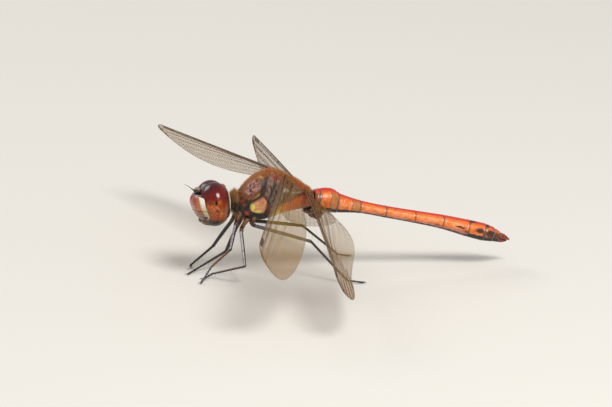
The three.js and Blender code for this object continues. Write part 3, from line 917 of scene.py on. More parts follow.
def thorax_marks(x, z, out, point):
    """The marks of the thorax in the order they are laid on: the colour of each and how far it covers."""
    here = (x + 0.08 * blotch(point, 0.4), z + 0.08 * blotch(Vector((point.z, point.x, point.y)), 0.4))
    flank = ease(out, 0.8, 1.25)
    rough = blotch(point, 0.5)

    def shoulder(long, short, edge):
        return shoulder_spot(point, long, short, edge)

    yield "#5e2a12", ease(z + 0.2 * rough, 11.2, 10.0)
    # The shoulder: a golden arc round a mauve-brown middle flecked with painted glints, a dark seam behind
    # it
    yield "#1c0d08", 0.85 * shoulder(1.9, 1.32, 0.08) * ease(x, -13.6, -12.6)
    yield "#8a4c1a", shoulder(1.72, 1.12, 0.08)
    yield "#e0a23a", shoulder(1.72, 1.12, 0.06) * ease(x + 0.6 * (z - 11), -13.9, -12.9)
    yield "#7c431a", shoulder(1.46, 0.9, 0.14)
    middle = paint(linear("#b27a6c"), "#4c2222", ease(blotch(point, 0.3), -0.35, 0.3))
    yield middle, shoulder(1.1, 0.62, 0.35)
    # Painted glints: pale flecks that stand in for light off the hair in the shoulder's middle
    yield "#d8c0b4", 0.7 * (ease(blotch(point, 0.16), 0.25, 0.5) * shoulder(0.9, 0.5, 0.3))
    # Behind the shoulder: grey-brown plates mottled with black, with two painted whitish glints
    streaks = blotch((x * 2.6, point.y, z * 0.8), 0.5) + 0.5 * rough
    grey = paint(linear("#85695a"), "#35221a", ease(streaks, -0.35, 0.5))
    yield grey, ease(x + 0.35 * (z - 10), -11.6, -11.3) * flank
    brown = paint(linear("#4a2817"), "#a0601f", ease(blotch(point, 0.5), -0.2, 0.4))
    yield brown, (1 - flank) * ease(x, -11.3, -10.9)
    # Painted glints: two whitish spots where light shines off the plates
    yield "#d9d3c4", 0.8 * flank * spot(here, (-9.1, 10.75), (0.4, 0.2), 0.4)
    yield "#d9d3c4", 0.6 * flank * spot(here, (-8.0, 10.4), (0.5, 0.14), 0.4)
    # The front side plate, cream at its front and lower edges
    lobe = spot(here, (-12.3, 9.05), (1.02, 1.08), 0.08) * flank
    yield "#dd9a66", lobe
    yield "#b5614a", 0.6 * lobe * spot(here, (-12.0, 9.7), (0.3, 0.7), 0.6)
    yield "#fae36c", lobe * spot(here, (-13.15, 8.75), (0.36, 0.55), 0.3)
    yield "#f7dc74", lobe * spot(here, (-12.5, 8.15), (0.5, 0.34), 0.3)
    # The rear side plate, orange to brick red, yellow at its lower front corner
    slope = z - 0.36 * (x + 9)
    ember = paint(linear("#f08a28"), "#d8501c", ease(x, -9.8, -8.6))
    ember = paint(ember, "#a04a20", ease(x, -8.0, -6.6))
    ember = paint(ember, "#6e2a14", ease(slope, 9.0, 9.5))
    yield ember, ease(slope, 9.75, 9.5) * ease(x + 0.75 * (z - 8), -10.55, -10.35) * flank
    yield "#ffe42c", spot(here, (-10.1, 7.85), (0.5, 0.45), 0.2) * flank
    # Black below and in the seams
    yield DARK, ease(z, 8.15, 7.9) * ease(x, -11.0, -11.4)
    yield DARK, 0.8 * ease(z - 0.15 * (x + 9), 7.6, 7.4)
    yield DARK, 0.9 * flank * ease(x + 0.3 * (z - 9), -13.2, -13.5) * ease(z, 10.0, 9.6)
    yield DARK, 0.8 * ease(x, -13.9, -14.2) * ease(z, 10.2, 9.6)
    yield DARK, thorax_groove(point)[1] * flank
    # Rust spots low in front, and red scales between the wings
    for cx, cz, wide, tall in RUST_SPOTS:
        yield "#b0351a", spot(here, (cx, cz), (wide, tall), 0.5) * ease(rough, -0.6, 0.1)
    for cx, cy, wide in RED_SCALES:
        scale = spot((x + 0.1 * rough, out), (cx, cy), (wide, wide), 0.4)
        yield "#a8161a", 0.9 * scale * ease(z, 10.2, 10.5)


def thorax_tint(point, t=0.0, angle=0.0):
    """Ochre dome, ringed shoulders, dark seams, cream and orange side plates, red between the wings, a few
    painted glints.
    """
    colour = linear("#94511a")
    for mark, share in thorax_marks(point.x, point.z, abs(point.y), point):
        colour = paint(colour, mark, share)
    return colour


def build_thorax(material, body):
    """Prothorax with the neck, and the fused thorax."""
    bm = new_mesh()
    ball(bm, 96, 48, prothorax_wall, prothorax_tint)
    neck = straight(Vector((-16.1, 0, 8.95)), Vector((-15.0, 0, 8.95)))
    rod(bm, neck, lambda s, a: 0.55 - 0.06 * math.cos(s * 25), 32, 24, constant(linear("#2a1b13")))
    finish_piece("shell_prothorax", bm, material, ["prothorax"])
    shrink, suture = body.coat_depth / MM, body.suture_depth / MM
    bm = new_mesh()
    ball(bm, *THORAX_GRID, lambda t, angle: thorax_wall(t, angle, shrink, suture), thorax_tint)
    finish_piece("shell_thorax", bm, material, ["thorax"])


# ------------------------------------------------------------------ wings


def wing_frame(wing, side, sweep, droop, bend, pitch):
    """A function that sets a point of the wing: share of the length, distance back, height over it."""
    forward, down = math.radians(sweep), math.radians(droop)
    level = math.cos(down)
    span = Vector((-math.sin(forward) * level, side * math.cos(forward) * level, -math.sin(down)))
    back = Vector((math.cos(forward), side * math.sin(forward), 0.0))
    below = span.cross(back)
    below *= -1 if below.z > 0 else 1
    base = Vector((wing["base"].x, side * wing["base"].y, wing["base"].z))

    def place(t, across, lift):
        turn = math.radians(pitch[0] + (pitch[1] - pitch[0]) * ease(t, 0.0, wing["twist"]))
        chord = back * math.cos(turn) + below * math.sin(turn)
        above = span.cross(chord)
        above *= -1 if above.z < 0 else 1
        spine = base + span * (t * wing["length"]) - Vector((0.0, 0.0, bend * t**3))
        return spine + chord * across + above * lift

    return place


def wing_spread(wing, t):
    """How far the wing has widened from its root, as a share."""
    return wing["root"] + (1 - wing["root"]) * (1 - math.exp(-t / wing["rise"]))


def wing_edges(wing, t):
    """Distance back of the front edge and of the rear edge."""
    power, root = wing["fall"]
    round_off = max(0.0, t - TIP_START) / (1 - TIP_START)
    front = TIP_DROP * (1 - math.sqrt(max(0.0, 1 - round_off**2)))
    rear = wing["chord"] * wing_spread(wing, t) * max(0.0, 1 - t**power) ** root
    return front, max(rear, front)


def wing_rows(wing):
    """Distances back from the front edge at which the long veins run."""
    rows, step = [0.0, 0.34, 0.62], 0.42
    while rows[-1] < wing["chord"]:
        rows.append(rows[-1] + step)
        step = min(step * 1.09, 0.62)
    return rows


PLEATS = [0.0, -0.12, 0.1, -0.1, 0.07, -0.05, 0.04]  # rise and fall of the long veins


def row_point(wing, rows, k, t):
    """Distance back and rise of long vein k at a share of the length."""
    front, rear = wing_edges(wing, t)
    pleat = PLEATS[k] if k < len(PLEATS) else 0.03 * (-1) ** k
    across = min(front + rows[k] * wing_spread(wing, t), rear)
    return across, pleat * ease(rear - across, 0.0, 0.5) * ease(t, 1.0, 0.8)


def wing_sheet(wing, place, cell):
    """The wing as a sheet of cells: brick-laid between long veins that end at the rear edge."""
    rows = wing_rows(wing)
    columns = 2 * round(wing["length"] / cell)
    bm = new_mesh()
    bmesh.ops.create_grid(bm, x_segments=columns, y_segments=len(rows) - 1, size=1.0)
    cells = {}
    for vert in bm.verts:
        cells[vert] = (round((vert.co.x + 1) / 2 * columns), round((vert.co.y + 1) / 2 * (len(rows) - 1)))
    surplus = []
    for edge in bm.edges:
        (column, k), (other, k_other) = (cells[vert] for vert in edge.verts)
        if column != other or column in (0, columns):
            continue
        k = min(k, k_other)
        kept = column % 6 == 0 if k < 2 else (column + k) % 2 == 0
        if not kept and column < columns - 7:
            surplus.append(edge)
    bmesh.ops.dissolve_edges(bm, edges=surplus, use_verts=False, use_face_split=False)
    for vert, (column, k) in cells.items():
        t = 1 - (1 - column / columns) ** 1.3
        across, lift = row_point(wing, rows, k, t)
        rear = wing_edges(wing, t)[1]
        if 0 < k and across < rear:
            sway = Vector((t * wing["length"], across, 5.0 * k))
            zigzag = 0.12 * ease(k, 2, 5) * (1 if (column + k) % 2 == 0 else -1) * ease(t, 0.0, 0.1)
            across += zigzag + 0.06 * ease(k, 1, 4) * noise.noise(sway * 1.7)
            t += 0.08 * ease(k, 1, 4) * noise.noise(sway * 1.3 + Vector((9, 9, 9))) / wing["length"]
            if rear - across < 0.16:
                across = rear
        vert.co = place(t, across, lift)
    bmesh.ops.remove_doubles(bm, verts=bm.verts, dist=0.03)
    bmesh.ops.dissolve_degenerate(bm, edges=bm.edges, dist=0.02)
    loose = [edge for edge in bm.edges if not edge.link_faces]
    bmesh.ops.delete(bm, geom=loose, context="EDGES")
    return bm, rows


def tint_all(bm, tint, density=lambda point: 1.0):
    """Sets the pigment of every vertex, and how dense it is, from its place."""
    layer = bm.verts.layers.float_color["tint"]
    for vert in bm.verts:
        vert[layer] = (*tint(vert.co), density(vert.co))


def build_wing(name, membrane_material, vein_material, settings):
    """One wing: its membrane, its net of veins and the dark cell near the tip."""
    wing, side, sweep, droop, bend, pitch = WING_POSES[name]
    place = wing_frame(wing, side, sweep, droop, bend, pitch)
    smoke, dark, stigma = Vector(settings.smoke), Vector(settings.dark), Vector(settings.stigma)
    amber, russet, umber = linear("#b87020"), linear("#6e3a1c"), linear("#6b4418")
    base, tip = place(0, 0, 0), place(1, 0, 0)

    def front_strip(point):
        """1 between the front edge and the third long vein, which lie close together."""
        out = (point - base).dot(tip - base) / (tip - base).length_squared
        return ease((point - place(out, 0, 0)).length, 0.7, 0.45) * ease(out, 0.95, 0.7)

    def membrane_tint(point):
        out = (point - base).length / wing["length"]
        colour = amber.lerp(smoke, ease(out, 0.01, 0.09))
        colour = colour.lerp(smoke * 0.8, ease(blotch(point, 3.0), 0, 0.5))
        return colour.lerp(umber, 0.65 * front_strip(point))

    def density(point):
        out = (point - base).length / wing["length"]
        clear = settings.opacity * (ROOT_OPACITY + (1 - ROOT_OPACITY) * ease(out, 0.12, 0.5))
        return clear + (FRONT_OPACITY - clear) * front_strip(point)

    def vein_tint(point, t=0.0, angle=0.0):
        out = (point - base).length / wing["length"]
        return russet.lerp(dark, ease(out, 0.02, 0.2))

    def net_tint(point):
        return paint(vein_tint(point), "#a8742e", 0.3)

    bm, rows = wing_sheet(wing, place, settings.cell / MM)
    net = bm.copy()
    tint_all(bm, membrane_tint, density)
    bmesh.ops.triangulate(bm, faces=bm.faces)
    bmesh.ops.recalc_face_normals(bm, faces=bm.faces)
    bmesh.ops.solidify(bm, geom=bm.faces[:], thickness=settings.thickness / MM)
    finish_piece(f"membrane_{name}", bm, membrane_material, [name])

    width = settings.vein / MM
    bmesh.ops.wireframe(net, faces=net.faces[:], thickness=width, use_replace=True, use_boundary=True)
    tint_all(net, net_tint)
    # The veins that stand out: number, how far along the wing each reaches, and its radius at the root
    ribs = [(0, 1.0, 0.085), (1, wing["nodus"], 0.055), (2, 0.97, 0.075), (4, 0.9, 0.04), (7, 0.6, 0.04)]
    for k, reach, thick in ribs:

        def path(s, k=k, reach=reach):
            return place(s * reach, *row_point(wing, rows, k, s * reach))

        rod(net, path, lambda s, a, thick=thick: thick * (1 - 0.55 * s), 8, 60, vein_tint)
    nodus = place(wing["nodus"], 0.16, 0.0)
    ellipsoid(net, nodus, (0.15, 0.1, 0.08), vein_tint, 12, 8)

    def stigma_place(t, angle):
        station, share = capped(t, 0.12, 0.05)
        start, end = wing["stigma"]
        along = start + (end - start) * station
        front = wing_edges(wing, along)[0]
        across = front + 0.31 * wing_spread(wing, along) * (1 + 0.95 * share * squared(math.cos(angle), 3))
        return place(along, across, 0.05 * share * math.sin(angle))

    ball(net, 24, 24, stigma_place, constant(stigma))
    finish_piece(f"veins_{name}", net, vein_material)


def build_hinges(material):
    """The knobs of hard cuticle that join each wing to the thorax."""
    bm = new_mesh()
    for wing, side, sweep, droop, bend, pitch in WING_POSES.values():
        place = wing_frame(wing, side, sweep, droop, bend, pitch)
        reach = wing["chord"] * wing["root"]
        for across, girth, colour in KNUCKLES:
            root, tip = place(-0.04, across * reach * 0.9, 0.0), place(0.02, across * reach, 0.0)
            swell = lambda s, a, girth=girth: girth * (1.25 - 0.75 * s + 0.25 * math.sin(9 * s))
            rod(bm, straight(root, tip), swell, 18, 24, constant(linear(colour)), 0.2, 0.12)
    finish_piece("wing_hinges", bm, material)


# ------------------------------------------------------------------ abdomen

ABDOMEN_AT = smooth_rows(ABDOMEN)
STATIONS = len(ABDOMEN) - 1


def abdomen_frame(station):
    """Centre, run, upward direction, half height and half width at a station number."""
    x, z, tall, wide = ABDOMEN_AT(station / STATIONS)
    ahead = ABDOMEN_AT((station + 0.02) / STATIONS)
    behind = ABDOMEN_AT((station - 0.02) / STATIONS)
    run = Vector((ahead[0] - behind[0], 0, ahead[1] - behind[1])).normalized()
    return Vector((x, 0, z)), run, Vector((-run.z, 0, run.x)), tall, wide


def segment_wall(i, t, angle):
    """A point of segment i: tucked in front, lipped behind, ridged along the back and the lower sides."""
    first, last = SEGMENT_ENDS[i], SEGMENT_ENDS[i + 1]
    station, share = capped(t, 0.05, 0.012)
    centre, run, up, tall, wide = abdomen_frame(first + (last - first) * station)
    length = ABDOMEN[last][0] - ABDOMEN[first][0]
    tuck = 1 - 0.1 * ease(station * length, 0.3, 0.0) + 0.025 * ease((1 - station) * length, 0.3, 0.12)
    sine, cosine = math.sin(angle), math.cos(angle)
    ridge = 0.045 * math.exp(-(((angle - math.pi / 2) / 0.08) ** 2))
    for keel in (-0.5, -math.pi + 0.5):
        ridge += 0.05 * math.exp(-(((angle - keel) / 0.08) ** 2))
    for band in CARINAE.get(i, ()):
        ridge += 0.025 * math.exp(-(((station - band) / 0.018) ** 2)) * ease(sine, -0.4, 0.0)
    hollow = 1 - 0.16 * ease(-sine, 0.6, 0.85)
    reach = (tuck + ridge) * share * hollow
    rise = squared(sine, 2.1) * tall * reach
    side = squared(cosine, 2.1) * wide * reach
    return centre + run * (station - 0.5) * 0.1 + Vector((0, side, 0)) + up * rise


def segment_tint(i, body):
    """Markings of segment i: red back, orange sides with a painted highlight, a lilac-grey band, black line
    low down, ringed joints.
    """
    top, flank = Vector(body.abdomen_top), Vector(body.abdomen_side)
    names = ("#140d0c", "#a08085", "#ffb37c", "#6e3c20", "#a8743a", "#b9aeb0", "#9a3614")
    black, lilac_band, painted_highlight, brown, buff, pale, rust = (linear(name) for name in names)
    length = ABDOMEN[SEGMENT_ENDS[i + 1]][0] - ABDOMEN[SEGMENT_ENDS[i]][0]

    def tint(point, t, angle):
        station = capped(t, 0.05, 0.012)[0]
        around = math.degrees(math.asin(math.sin(angle)))
        drift = 5 * blotch(point, 0.5) + 3 * blotch(point, 0.17)
        height = around + drift
        colour = flank.lerp(top, ease(height, 48, 76))
        # Painted highlight: pale streaks along the middle of the sides, where light shines off them
        streak = spot((station, height), (0.48, 20), (0.42, 16), 0.6) * ease(blotch(point, 0.9), -0.6, 0.3)
        colour = colour.lerp(painted_highlight, 0.6 * streak * (1 < i < 7))
        colour = colour.lerp(rust, 0.5 * ease(blotch(point, 0.6), 0.1, 0.6) * ease(height, 30, 5))
        # A lilac-grey band low on each side, above the black line
        colour = colour.lerp(lilac_band, 0.6 * spot((station, height), (0.5, -15), (0.6, 9), 0.5) * (i > 2))
        low = -12 if i < 3 else -19 if i < 7 else -6
        colour = colour.lerp(black, ease(height, low, low - 7))
        colour = colour.lerp(brown, 0.75 * ease(height, -46, -58) * ease(blotch(point, 0.4), -0.5, 0.1))
        if i == 0:
            colour = paint(colour, "#7c3a1c", 0.75 * ease(height, 70, 40))
        if i in CARINAE:
            band = CARINAE[i][-1]
            behind = ease(station, band - 0.01, band + 0.02) * ease(height, 70, 52) * ease(height, -24, -12)
            colour = colour.lerp(buff, (0.7 + 0.25 * blotch(point, 0.25)) * behind)
            line = math.exp(-(((station - band) / 0.014) ** 2))
            colour = colour.lerp(black, 0.7 * line * ease(height, 72, 50))
        for where, half, depth in SPOTS.get(i, ()):
            colour = colour.lerp(black, depth * spot((station, height), where, half, 0.4))
        rear, fore = (1 - station) * length, station * length
        colour = colour.lerp(black, 0.85 * ease(rear, 0.18, 0.14) * ease(around, 88, 70))
        rim = (0.4 + 0.4 * blotch(point, 0.3)) * ease(rear, 0.09, 0.06)
        colour = colour.lerp(pale, rim * ease(around, 86, 60))
        colour = colour.lerp(black, 0.6 * ease(fore, 0.14, 0.07) * ease(around, 86, 66))
        return colour

    return tint


def build_abdomen(material, body):
    """Ten ringed segments, the bulge under the second and the three appendages."""
    for i in range(len(SEGMENT_ENDS) - 1):
        bm = new_mesh()
        ball(bm, *SEGMENT_GRID, lambda t, angle, i=i: segment_wall(i, t, angle), segment_tint(i, body))
        if i == 0:
            ellipsoid(bm, (-5.5, 0.0, 9.0), (0.42, 1.16, 1.1), constant(linear("#3a1c12")), 48, 24)
        finish_piece(f"shell_segment_{i + 1:02}", bm, material, [f"abdomen_{i + 1:02}"])

    def bulge_tint(point, t, angle):
        return paint(linear("#2c170d"), "#8a4a20", ease(blotch(point, 0.45), -0.15, 0.4))

    dark, brown = linear("#1c100b"), linear("#5a3016")
    bm = new_mesh()
    ellipsoid(bm, HAMULE_CENTRE + Vector((0, 0, 0.16)), HAMULE_HALF * 1.15, bulge_tint, 48, 30)
    ellipsoid(bm, (-5.55, 0.0, 7.72), (0.95, 0.95, 0.55), bulge_tint, 48, 30)
    for side in (-1, 1):
        centre = HAMULE_CENTRE + Vector((0.15, side * 0.32, -0.12))
        ellipsoid(bm, centre, (0.42, 0.2, 0.3), constant(brown))
        hook = centre + Vector((0.1, side * 0.02, -0.2))
        spike(bm, hook, hook + Vector((0.3, 0, -0.16)), 0.16, dark, 8)
    finish_piece("shell_hamule", bm, material, ["hamule"])

    def tip_tint(point, t, angle):
        return linear("#96361c").lerp(dark, 0.6 * ease(blotch(point, 0.3), -0.2, 0.35))

    centre, run, up = abdomen_frame(STATIONS)[:3]
    for name, (out, rise, short) in APPENDAGES.items():
        root = centre + Vector((0, out, 0)) + up * rise - run * 0.15
        tip = APPENDAGE_TIP + Vector((0, out * 0.6, rise * 0.45)) - run * short
        bow = up * (0.08 if rise > 0 else -0.06)
        girth = 0.27 if rise > 0 else 0.3
        bm = new_mesh()
        swell = lambda s, a, girth=girth: girth * (0.8 + 0.4 * math.sin(s * 2.6)) * (1 - 0.7 * s**2)
        rod(bm, bowed(root, tip, bow), swell, 32, 40, tip_tint)
        finish_piece(f"shell_{name}", bm, material, [name])


# ------------------------------------------------------------------ legs


def leg_tint(style, settings):
    """Black limb with a pale stripe along its outer side."""
    dark, stripe = Vector(settings.dark), linear(style)

    def tint(point, t, angle):
        pale = ease(math.cos(angle - 1.0), 0.7, 0.9) * ease(t, 0.04, 0.12) * ease(t, 0.97, 0.9)
        return dark.lerp(stripe, 0.85 * pale * ease(blotch(point, 0.3), -0.6, -0.1))

    return tint


def build_spines(bm, start, end, girth, length, count, spread, down, colour):
    """Two rows of bristles down a limb, leaning towards its foot."""
    run = (end - start).normalized()
    side = run.cross(down).normalized()
    for i in range(count):
        s = 0.1 + 0.84 * i / (count - 1)
        for turn in (-1, 1):
            out = (down + side * turn * spread).normalized()
            root = start.lerp(end, s) + out * girth * 0.7
            size = length * (0.8 + 0.3 * math.sin(3.1 * i + turn))
            spike(bm, root, root + (out + run * 0.75).normalized() * size, 0.045, colour, 4)


def build_leg(name, material, coxa_material, settings):
    """One leg: coxa with trochanter, femur, tibia, and tarsus with its two claws."""
    top, hip, knee, ankle, toe = (Vector(joint) for joint in LEGS[name])
    side = -1 if name.endswith("_l") else 1
    outer = Vector((0, side, 0.6)).normalized()
    dark = Vector(settings.dark)
    pale, buff = linear("#8f5c38"), linear("#55321c")

    def coxa_tint(point, t, angle):
        patch = ease(blotch(point, 0.3) + 0.3 * math.cos(angle), -0.25, 0.2)
        colour = pale.lerp(buff, ease(t, 0.35, 0.75)).lerp(dark, 0.85 * patch)
        return colour.lerp(dark, 0.9 * ease(t, 0.88, 0.96))

    bm = new_mesh()
    bulb = lambda s, a: 0.36 - 0.13 * s + 0.03 * math.cos(2 * a) + 0.02 * math.sin(9 * s)
    rod(bm, straight(top, hip.lerp(knee, 0.01)), bulb, 36, 40, coxa_tint, 0.2, 0.12)
    turn = hip.lerp(knee, 0.09)
    rod(bm, straight(hip.lerp(top, 0.12), turn), lambda s, a: 0.2 + 0.05 * math.sin(math.pi * s), 28, 20,
        coxa_tint, 0.3, 0.2)
    finish_piece(f"shell_{name}_coxa", bm, coxa_material, [f"{name}_coxa"])

    down = (knee - hip).cross(outer).cross(knee - hip).normalized() * -1
    femur = lambda s, a: 0.2 + 0.05 * math.sin(s * 2.4) - 0.07 * s + 0.035 * ease(s, 0.93, 0.97)
    bm = new_mesh()
    past = knee + (knee - hip).normalized() * 0.1
    # The femur's stripe: on the near legs, a real stripe whitened by a painted glint
    rod(bm, bowed(hip.lerp(knee, 0.03), past, outer * 0.06), femur, 28, 48,
        leg_tint(FEMUR_STRIPES_AND_GLINTS.get(name, "#6d6468"), settings), up=outer)
    build_spines(bm, hip, knee, 0.24, 0.16, 16, 0.5, down, dark)
    finish_piece(f"shell_{name}_femur", bm, material, [f"{name}_femur"])

    down = (ankle - knee).cross(outer).cross(ankle - knee).normalized() * -1
    tibia = lambda s, a: 0.15 - 0.03 * s + 0.02 * ease(s, 0.05, 0.0) + 0.02 * ease(s, 0.95, 1.0)
    bm = new_mesh()
    ahead = (ankle - knee).normalized() * 0.08
    rod(bm, straight(knee - ahead, ankle + ahead * 0.6), tibia, 24, 40,
        leg_tint(SHIN_STRIPES.get(name, "#4a3a30"), settings), up=outer)
    build_spines(bm, knee, ankle, 0.13, settings.spine / MM, 11, 0.7, down, dark)
    finish_piece(f"shell_{name}_tibia", bm, material, [f"{name}_tibia"])

    sole = toe + Vector((0, 0, 0.12))
    run = (sole - ankle).normalized()
    bm = new_mesh()
    for start, end in zip(TARSUS_JOINTS, TARSUS_JOINTS[1:]):
        swell = lambda s, a: 0.095 + 0.03 * s
        joint = straight(ankle.lerp(sole, start), ankle.lerp(sole, end))
        rod(bm, joint, swell, 16, 14, constant(dark), 0.2, 0.1)
    build_spines(bm, ankle, sole, 0.09, 0.16, 8, 0.7, Vector((0, 0, -1)), dark)
    level = Vector((run.x, run.y, 0)).normalized()
    across = Vector((-level.y, level.x, 0))
    for turn in (-1, 1):
        root = sole - run * 0.05
        claw = root + level * 0.42 + across * turn * 0.2
        claw.z = 0.03
        bow = Vector((0, 0, 0.1)) + across * turn * 0.04
        rod(bm, bowed(root, claw, bow), lambda s, a: 0.055 * (1.05 - s), 8, 16, constant(dark))
    # The foot stands on the floor and doesn't sink into it
    for vert in bm.verts:
        vert.co.z = max(vert.co.z, 0.0)
    finish_piece(f"shell_{name}_tarsus", bm, material, [f"{name}_tarsus"])


# ------------------------------------------------------------------ coat

def wall_normal(wall, t, angle):
    """Outward direction of a wall at a place on it."""
    step = 0.004
    along = wall(min(t + step, 1.0), angle) - wall(max(t - step, 0.0), angle)
    across = wall(t, angle + step) - wall(t, angle - step)
    normal = across.cross(along)
    return normal.normalized() if normal.length > 0 else Vector((0, 0, 1))


def grow_hairs(wall, count, keep, style, rng):
    """Hairs on a wall: keep(t, angle, root) thins them, style gives length, direction, bend, colour."""
    hairs = []
    while len(hairs) < count:
        t, angle = rng.uniform(0.01, 0.99), rng.uniform(-math.pi, math.pi)
        root = wall(t, angle)
        if rng.random() > keep(t, angle, root):
            continue
        normal = wall_normal(wall, t, angle)
        centre = Vector((root.x, 0, 0.5 * (wall(t, math.pi / 2).z + wall(t, -math.pi / 2).z)))
        if normal.dot(root - centre) < 0:
            normal = -normal
        length, lean, bend, colour = style(root, normal, rng)
        hairs.append((root - normal * 0.04, lean, bend, length, colour, (angle / (2 * math.pi) + 0.5, t)))
    return hairs


def hair_template():
    """A three-sided spike one unit long and wide with a joint where it bends: its points and faces."""
    bm = bmesh.new()
    upright = Matrix.Translation((0, 0, 0.5))
    bmesh.ops.create_cone(
        bm, cap_ends=True, segments=3, radius1=0.5, radius2=0.0, depth=1.0, matrix=upright
    )
    bmesh.ops.remove_doubles(bm, verts=bm.verts, dist=0.001)
    everything = bm.verts[:] + bm.edges[:] + bm.faces[:]
    cut = bmesh.ops.bisect_plane(bm, geom=everything, plane_co=(0, 0, 0.55), plane_no=(0, 0, 1))
    joint = [part for part in cut["geom_cut"] if isinstance(part, bmesh.types.BMVert)]
    bmesh.ops.scale(bm, vec=(1.55, 1.55, 1.0), verts=joint)
    bmesh.ops.recalc_face_normals(bm, faces=bm.faces)
    bm.verts.index_update()
    points = np.array([vert.co[:] for vert in bm.verts])
    faces = [[vert.index for vert in face.verts] for face in bm.faces]
    bm.free()
    return points, faces


def build_coat(name, hairs, material, width, tilt=UPRIGHT):
    """Joins hairs into one mesh: copies of one spike, each with its own patch of the bake map."""
    roots, leans, bends = (np.array([hair[i] for hair in hairs]) for i in range(3))
    lengths = np.array([hair[3] for hair in hairs])[:, None]
    colours = np.array([hair[4] for hair in hairs])
    patches = np.array([hair[5] for hair in hairs])
    side = np.cross(leans, [0.31, 0.17, 0.93])
    side /= np.linalg.norm(side, axis=1, keepdims=True)
    other = np.cross(leans, side)
    template, faces = hair_template()
    corners = []
    for across, over, along in template:
        spine = roots + leans * lengths * along + bends * lengths * along**2
        corners.append(spine + (side * across + other * over) * width)
    points = np.stack(corners, axis=1).reshape(-1, 3)
    matrix = np.array(TO_METRES @ tilt)
    points = points @ matrix[:3, :3].T + matrix[:3, 3]
    step = len(template)
    polygons = [[step * i + corner for corner in face] for i in range(len(hairs)) for face in faces]
    mesh = bpy.data.meshes.new(name)
    mesh.from_pydata(points.tolist(), [], polygons)
    tint = mesh.color_attributes.new("tint", "FLOAT_COLOR", "POINT")
    shades = np.concatenate([colours, np.ones((len(hairs), 1))], axis=1)
    tint.data.foreach_set("color", np.repeat(shades, step, axis=0).ravel())
    # Each patch of the bake map lies at the root's place on the unwrapped skin
    places = (patches[:, None, :] + template[None, :, :2] * BAKE_PATCH).reshape(-1, 2).clip(0, 1)
    loops = np.zeros(len(mesh.loops), dtype=np.int32)
    mesh.loops.foreach_get("vertex_index", loops)
    bake = mesh.uv_layers.new(name="OFBake")
    bake.data.foreach_set("uv", places[loops].ravel())
    mesh.validate()
    add_piece(mesh, material)


def jitter(rng, size):
    """A small random turn."""
    return Vector((rng.uniform(-size, size), rng.uniform(-size, size), rng.uniform(-size, size)))


def thorax_hair(root, normal, rng):
    """Ochre hair on the dome and back, short pale hair on the sides."""
    top = ease(normal.z, 0.1, 0.65)
    length = (0.1 + 0.26 * top) * rng.uniform(0.6, 1.25)
    lean = (normal + Vector((0.5, 0, 0.15 * top)) + jitter(rng, 0.35)).normalized()
    ochre = paint(linear("#b4661a"), "#eaa54e", rng.random() ** 1.3)
    pale = paint(linear("#8a6a4c"), "#cdb48c", rng.random())
    colour = pale.lerp(ochre, top).lerp(thorax_tint(root), 0.3)
    return length, lean, Vector((0.3, 0, -0.12)) + jitter(rng, 0.2), colour


def collar_hair(root, normal, rng):
    """Long hair that stands in a collar on the prothorax."""
    length = 0.5 * rng.uniform(0.5, 1.1)
    lean = (normal + Vector((0.1, 0, 0.4)) + jitter(rng, 0.25)).normalized()
    return length, lean, jitter(rng, 0.25), paint(linear("#96601f"), "#dba85a", rng.random())


def bristle(hex_colour, size, sweep=Vector((0, 0, 0))):
    """A style for short bristles of one colour, leaning along the sweep."""
    colour = linear(hex_colour)

    def style(root, normal, rng):
        lean = (normal + sweep + jitter(rng, 0.35)).normalized()
        shade = colour * rng.uniform(0.6, 1.3)
        return size * rng.uniform(0.6, 1.2), lean, Vector((0.1, 0, -0.25)) + jitter(rng, 0.1), shade

    return style


# ------------------------------------------------------------------ operators


class DRAGONFLY_OT_head(bpy.types.Operator):
    """Build the eyes, the face, the back of the head and the feelers"""

    bl_idname = "dragonfly.head"
    bl_label = "Head"

    def execute(self, context):
        body = context.scene.dragonfly_body
        lens = cornea("compound_eye")
        shell = cuticle("face_cuticle", 0.3, 0.25, 0.25, 0.05, 0.006, coat=0.3)
        dark = cuticle("feeler_cuticle", 0.35, 0.2, 0.2, 0.05, 0.004)
        for side, letter in ((-1, "l"), (1, "r")):
            build_eye(side, letter, lens, body)
            build_antenna(side, letter, dark)
        build_face(shell)
        build_vertex(shell)
        build_head_back(shell)
        return {"FINISHED"}


class DRAGONFLY_OT_thorax(bpy.types.Operator):
    """Build the prothorax, the thorax and the wing hinges"""

    bl_idname = "dragonfly.thorax"
    bl_label = "Thorax"

    def execute(self, context):
        shell = cuticle("thorax_cuticle", 0.42, 0.3, 0.4, 0.06, 0.008)
        build_thorax(shell, context.scene.dragonfly_body)
        build_hinges(shell)
        return {"FINISHED"}


class DRAGONFLY_OT_abdomen(bpy.types.Operator):
    """Build the ten segments and the appendages"""

    bl_idname = "dragonfly.abdomen"
    bl_label = "Abdomen"

    def execute(self, context):
        shell = cuticle("abdomen_cuticle", 0.32, 0.3, 0.3, 0.045, 0.006, coat=0.25)
        build_abdomen(shell, context.scene.dragonfly_body)
        return {"FINISHED"}


class DRAGONFLY_OT_wings(bpy.types.Operator):
    """Build the four wings"""

    bl_idname = "dragonfly.wings"
    bl_label = "Wings"

    def execute(self, context):
        settings = context.scene.dragonfly_wings
        sheet = membrane("wing_membrane")
        vein = cuticle("wing_vein", 0.38, 0.2, 0.2, 0.05, 0.003)
        for name in WING_POSES:
            build_wing(name, sheet, vein, settings)
        return {"FINISHED"}


class DRAGONFLY_OT_legs(bpy.types.Operator):
    """Build the six legs"""

    bl_idname = "dragonfly.legs"
    bl_label = "Legs"

    def execute(self, context):
        settings = context.scene.dragonfly_legs
        shell = cuticle("leg_cuticle", 0.34, 0.15, 0.2, 0.04, 0.004, coat=0.2)
        coxa = cuticle("coxa_cuticle", 0.42, 0.25, 0.35, 0.05, 0.006)
        for name in LEGS:
            build_leg(name, shell, coxa, settings)
        return {"FINISHED"}


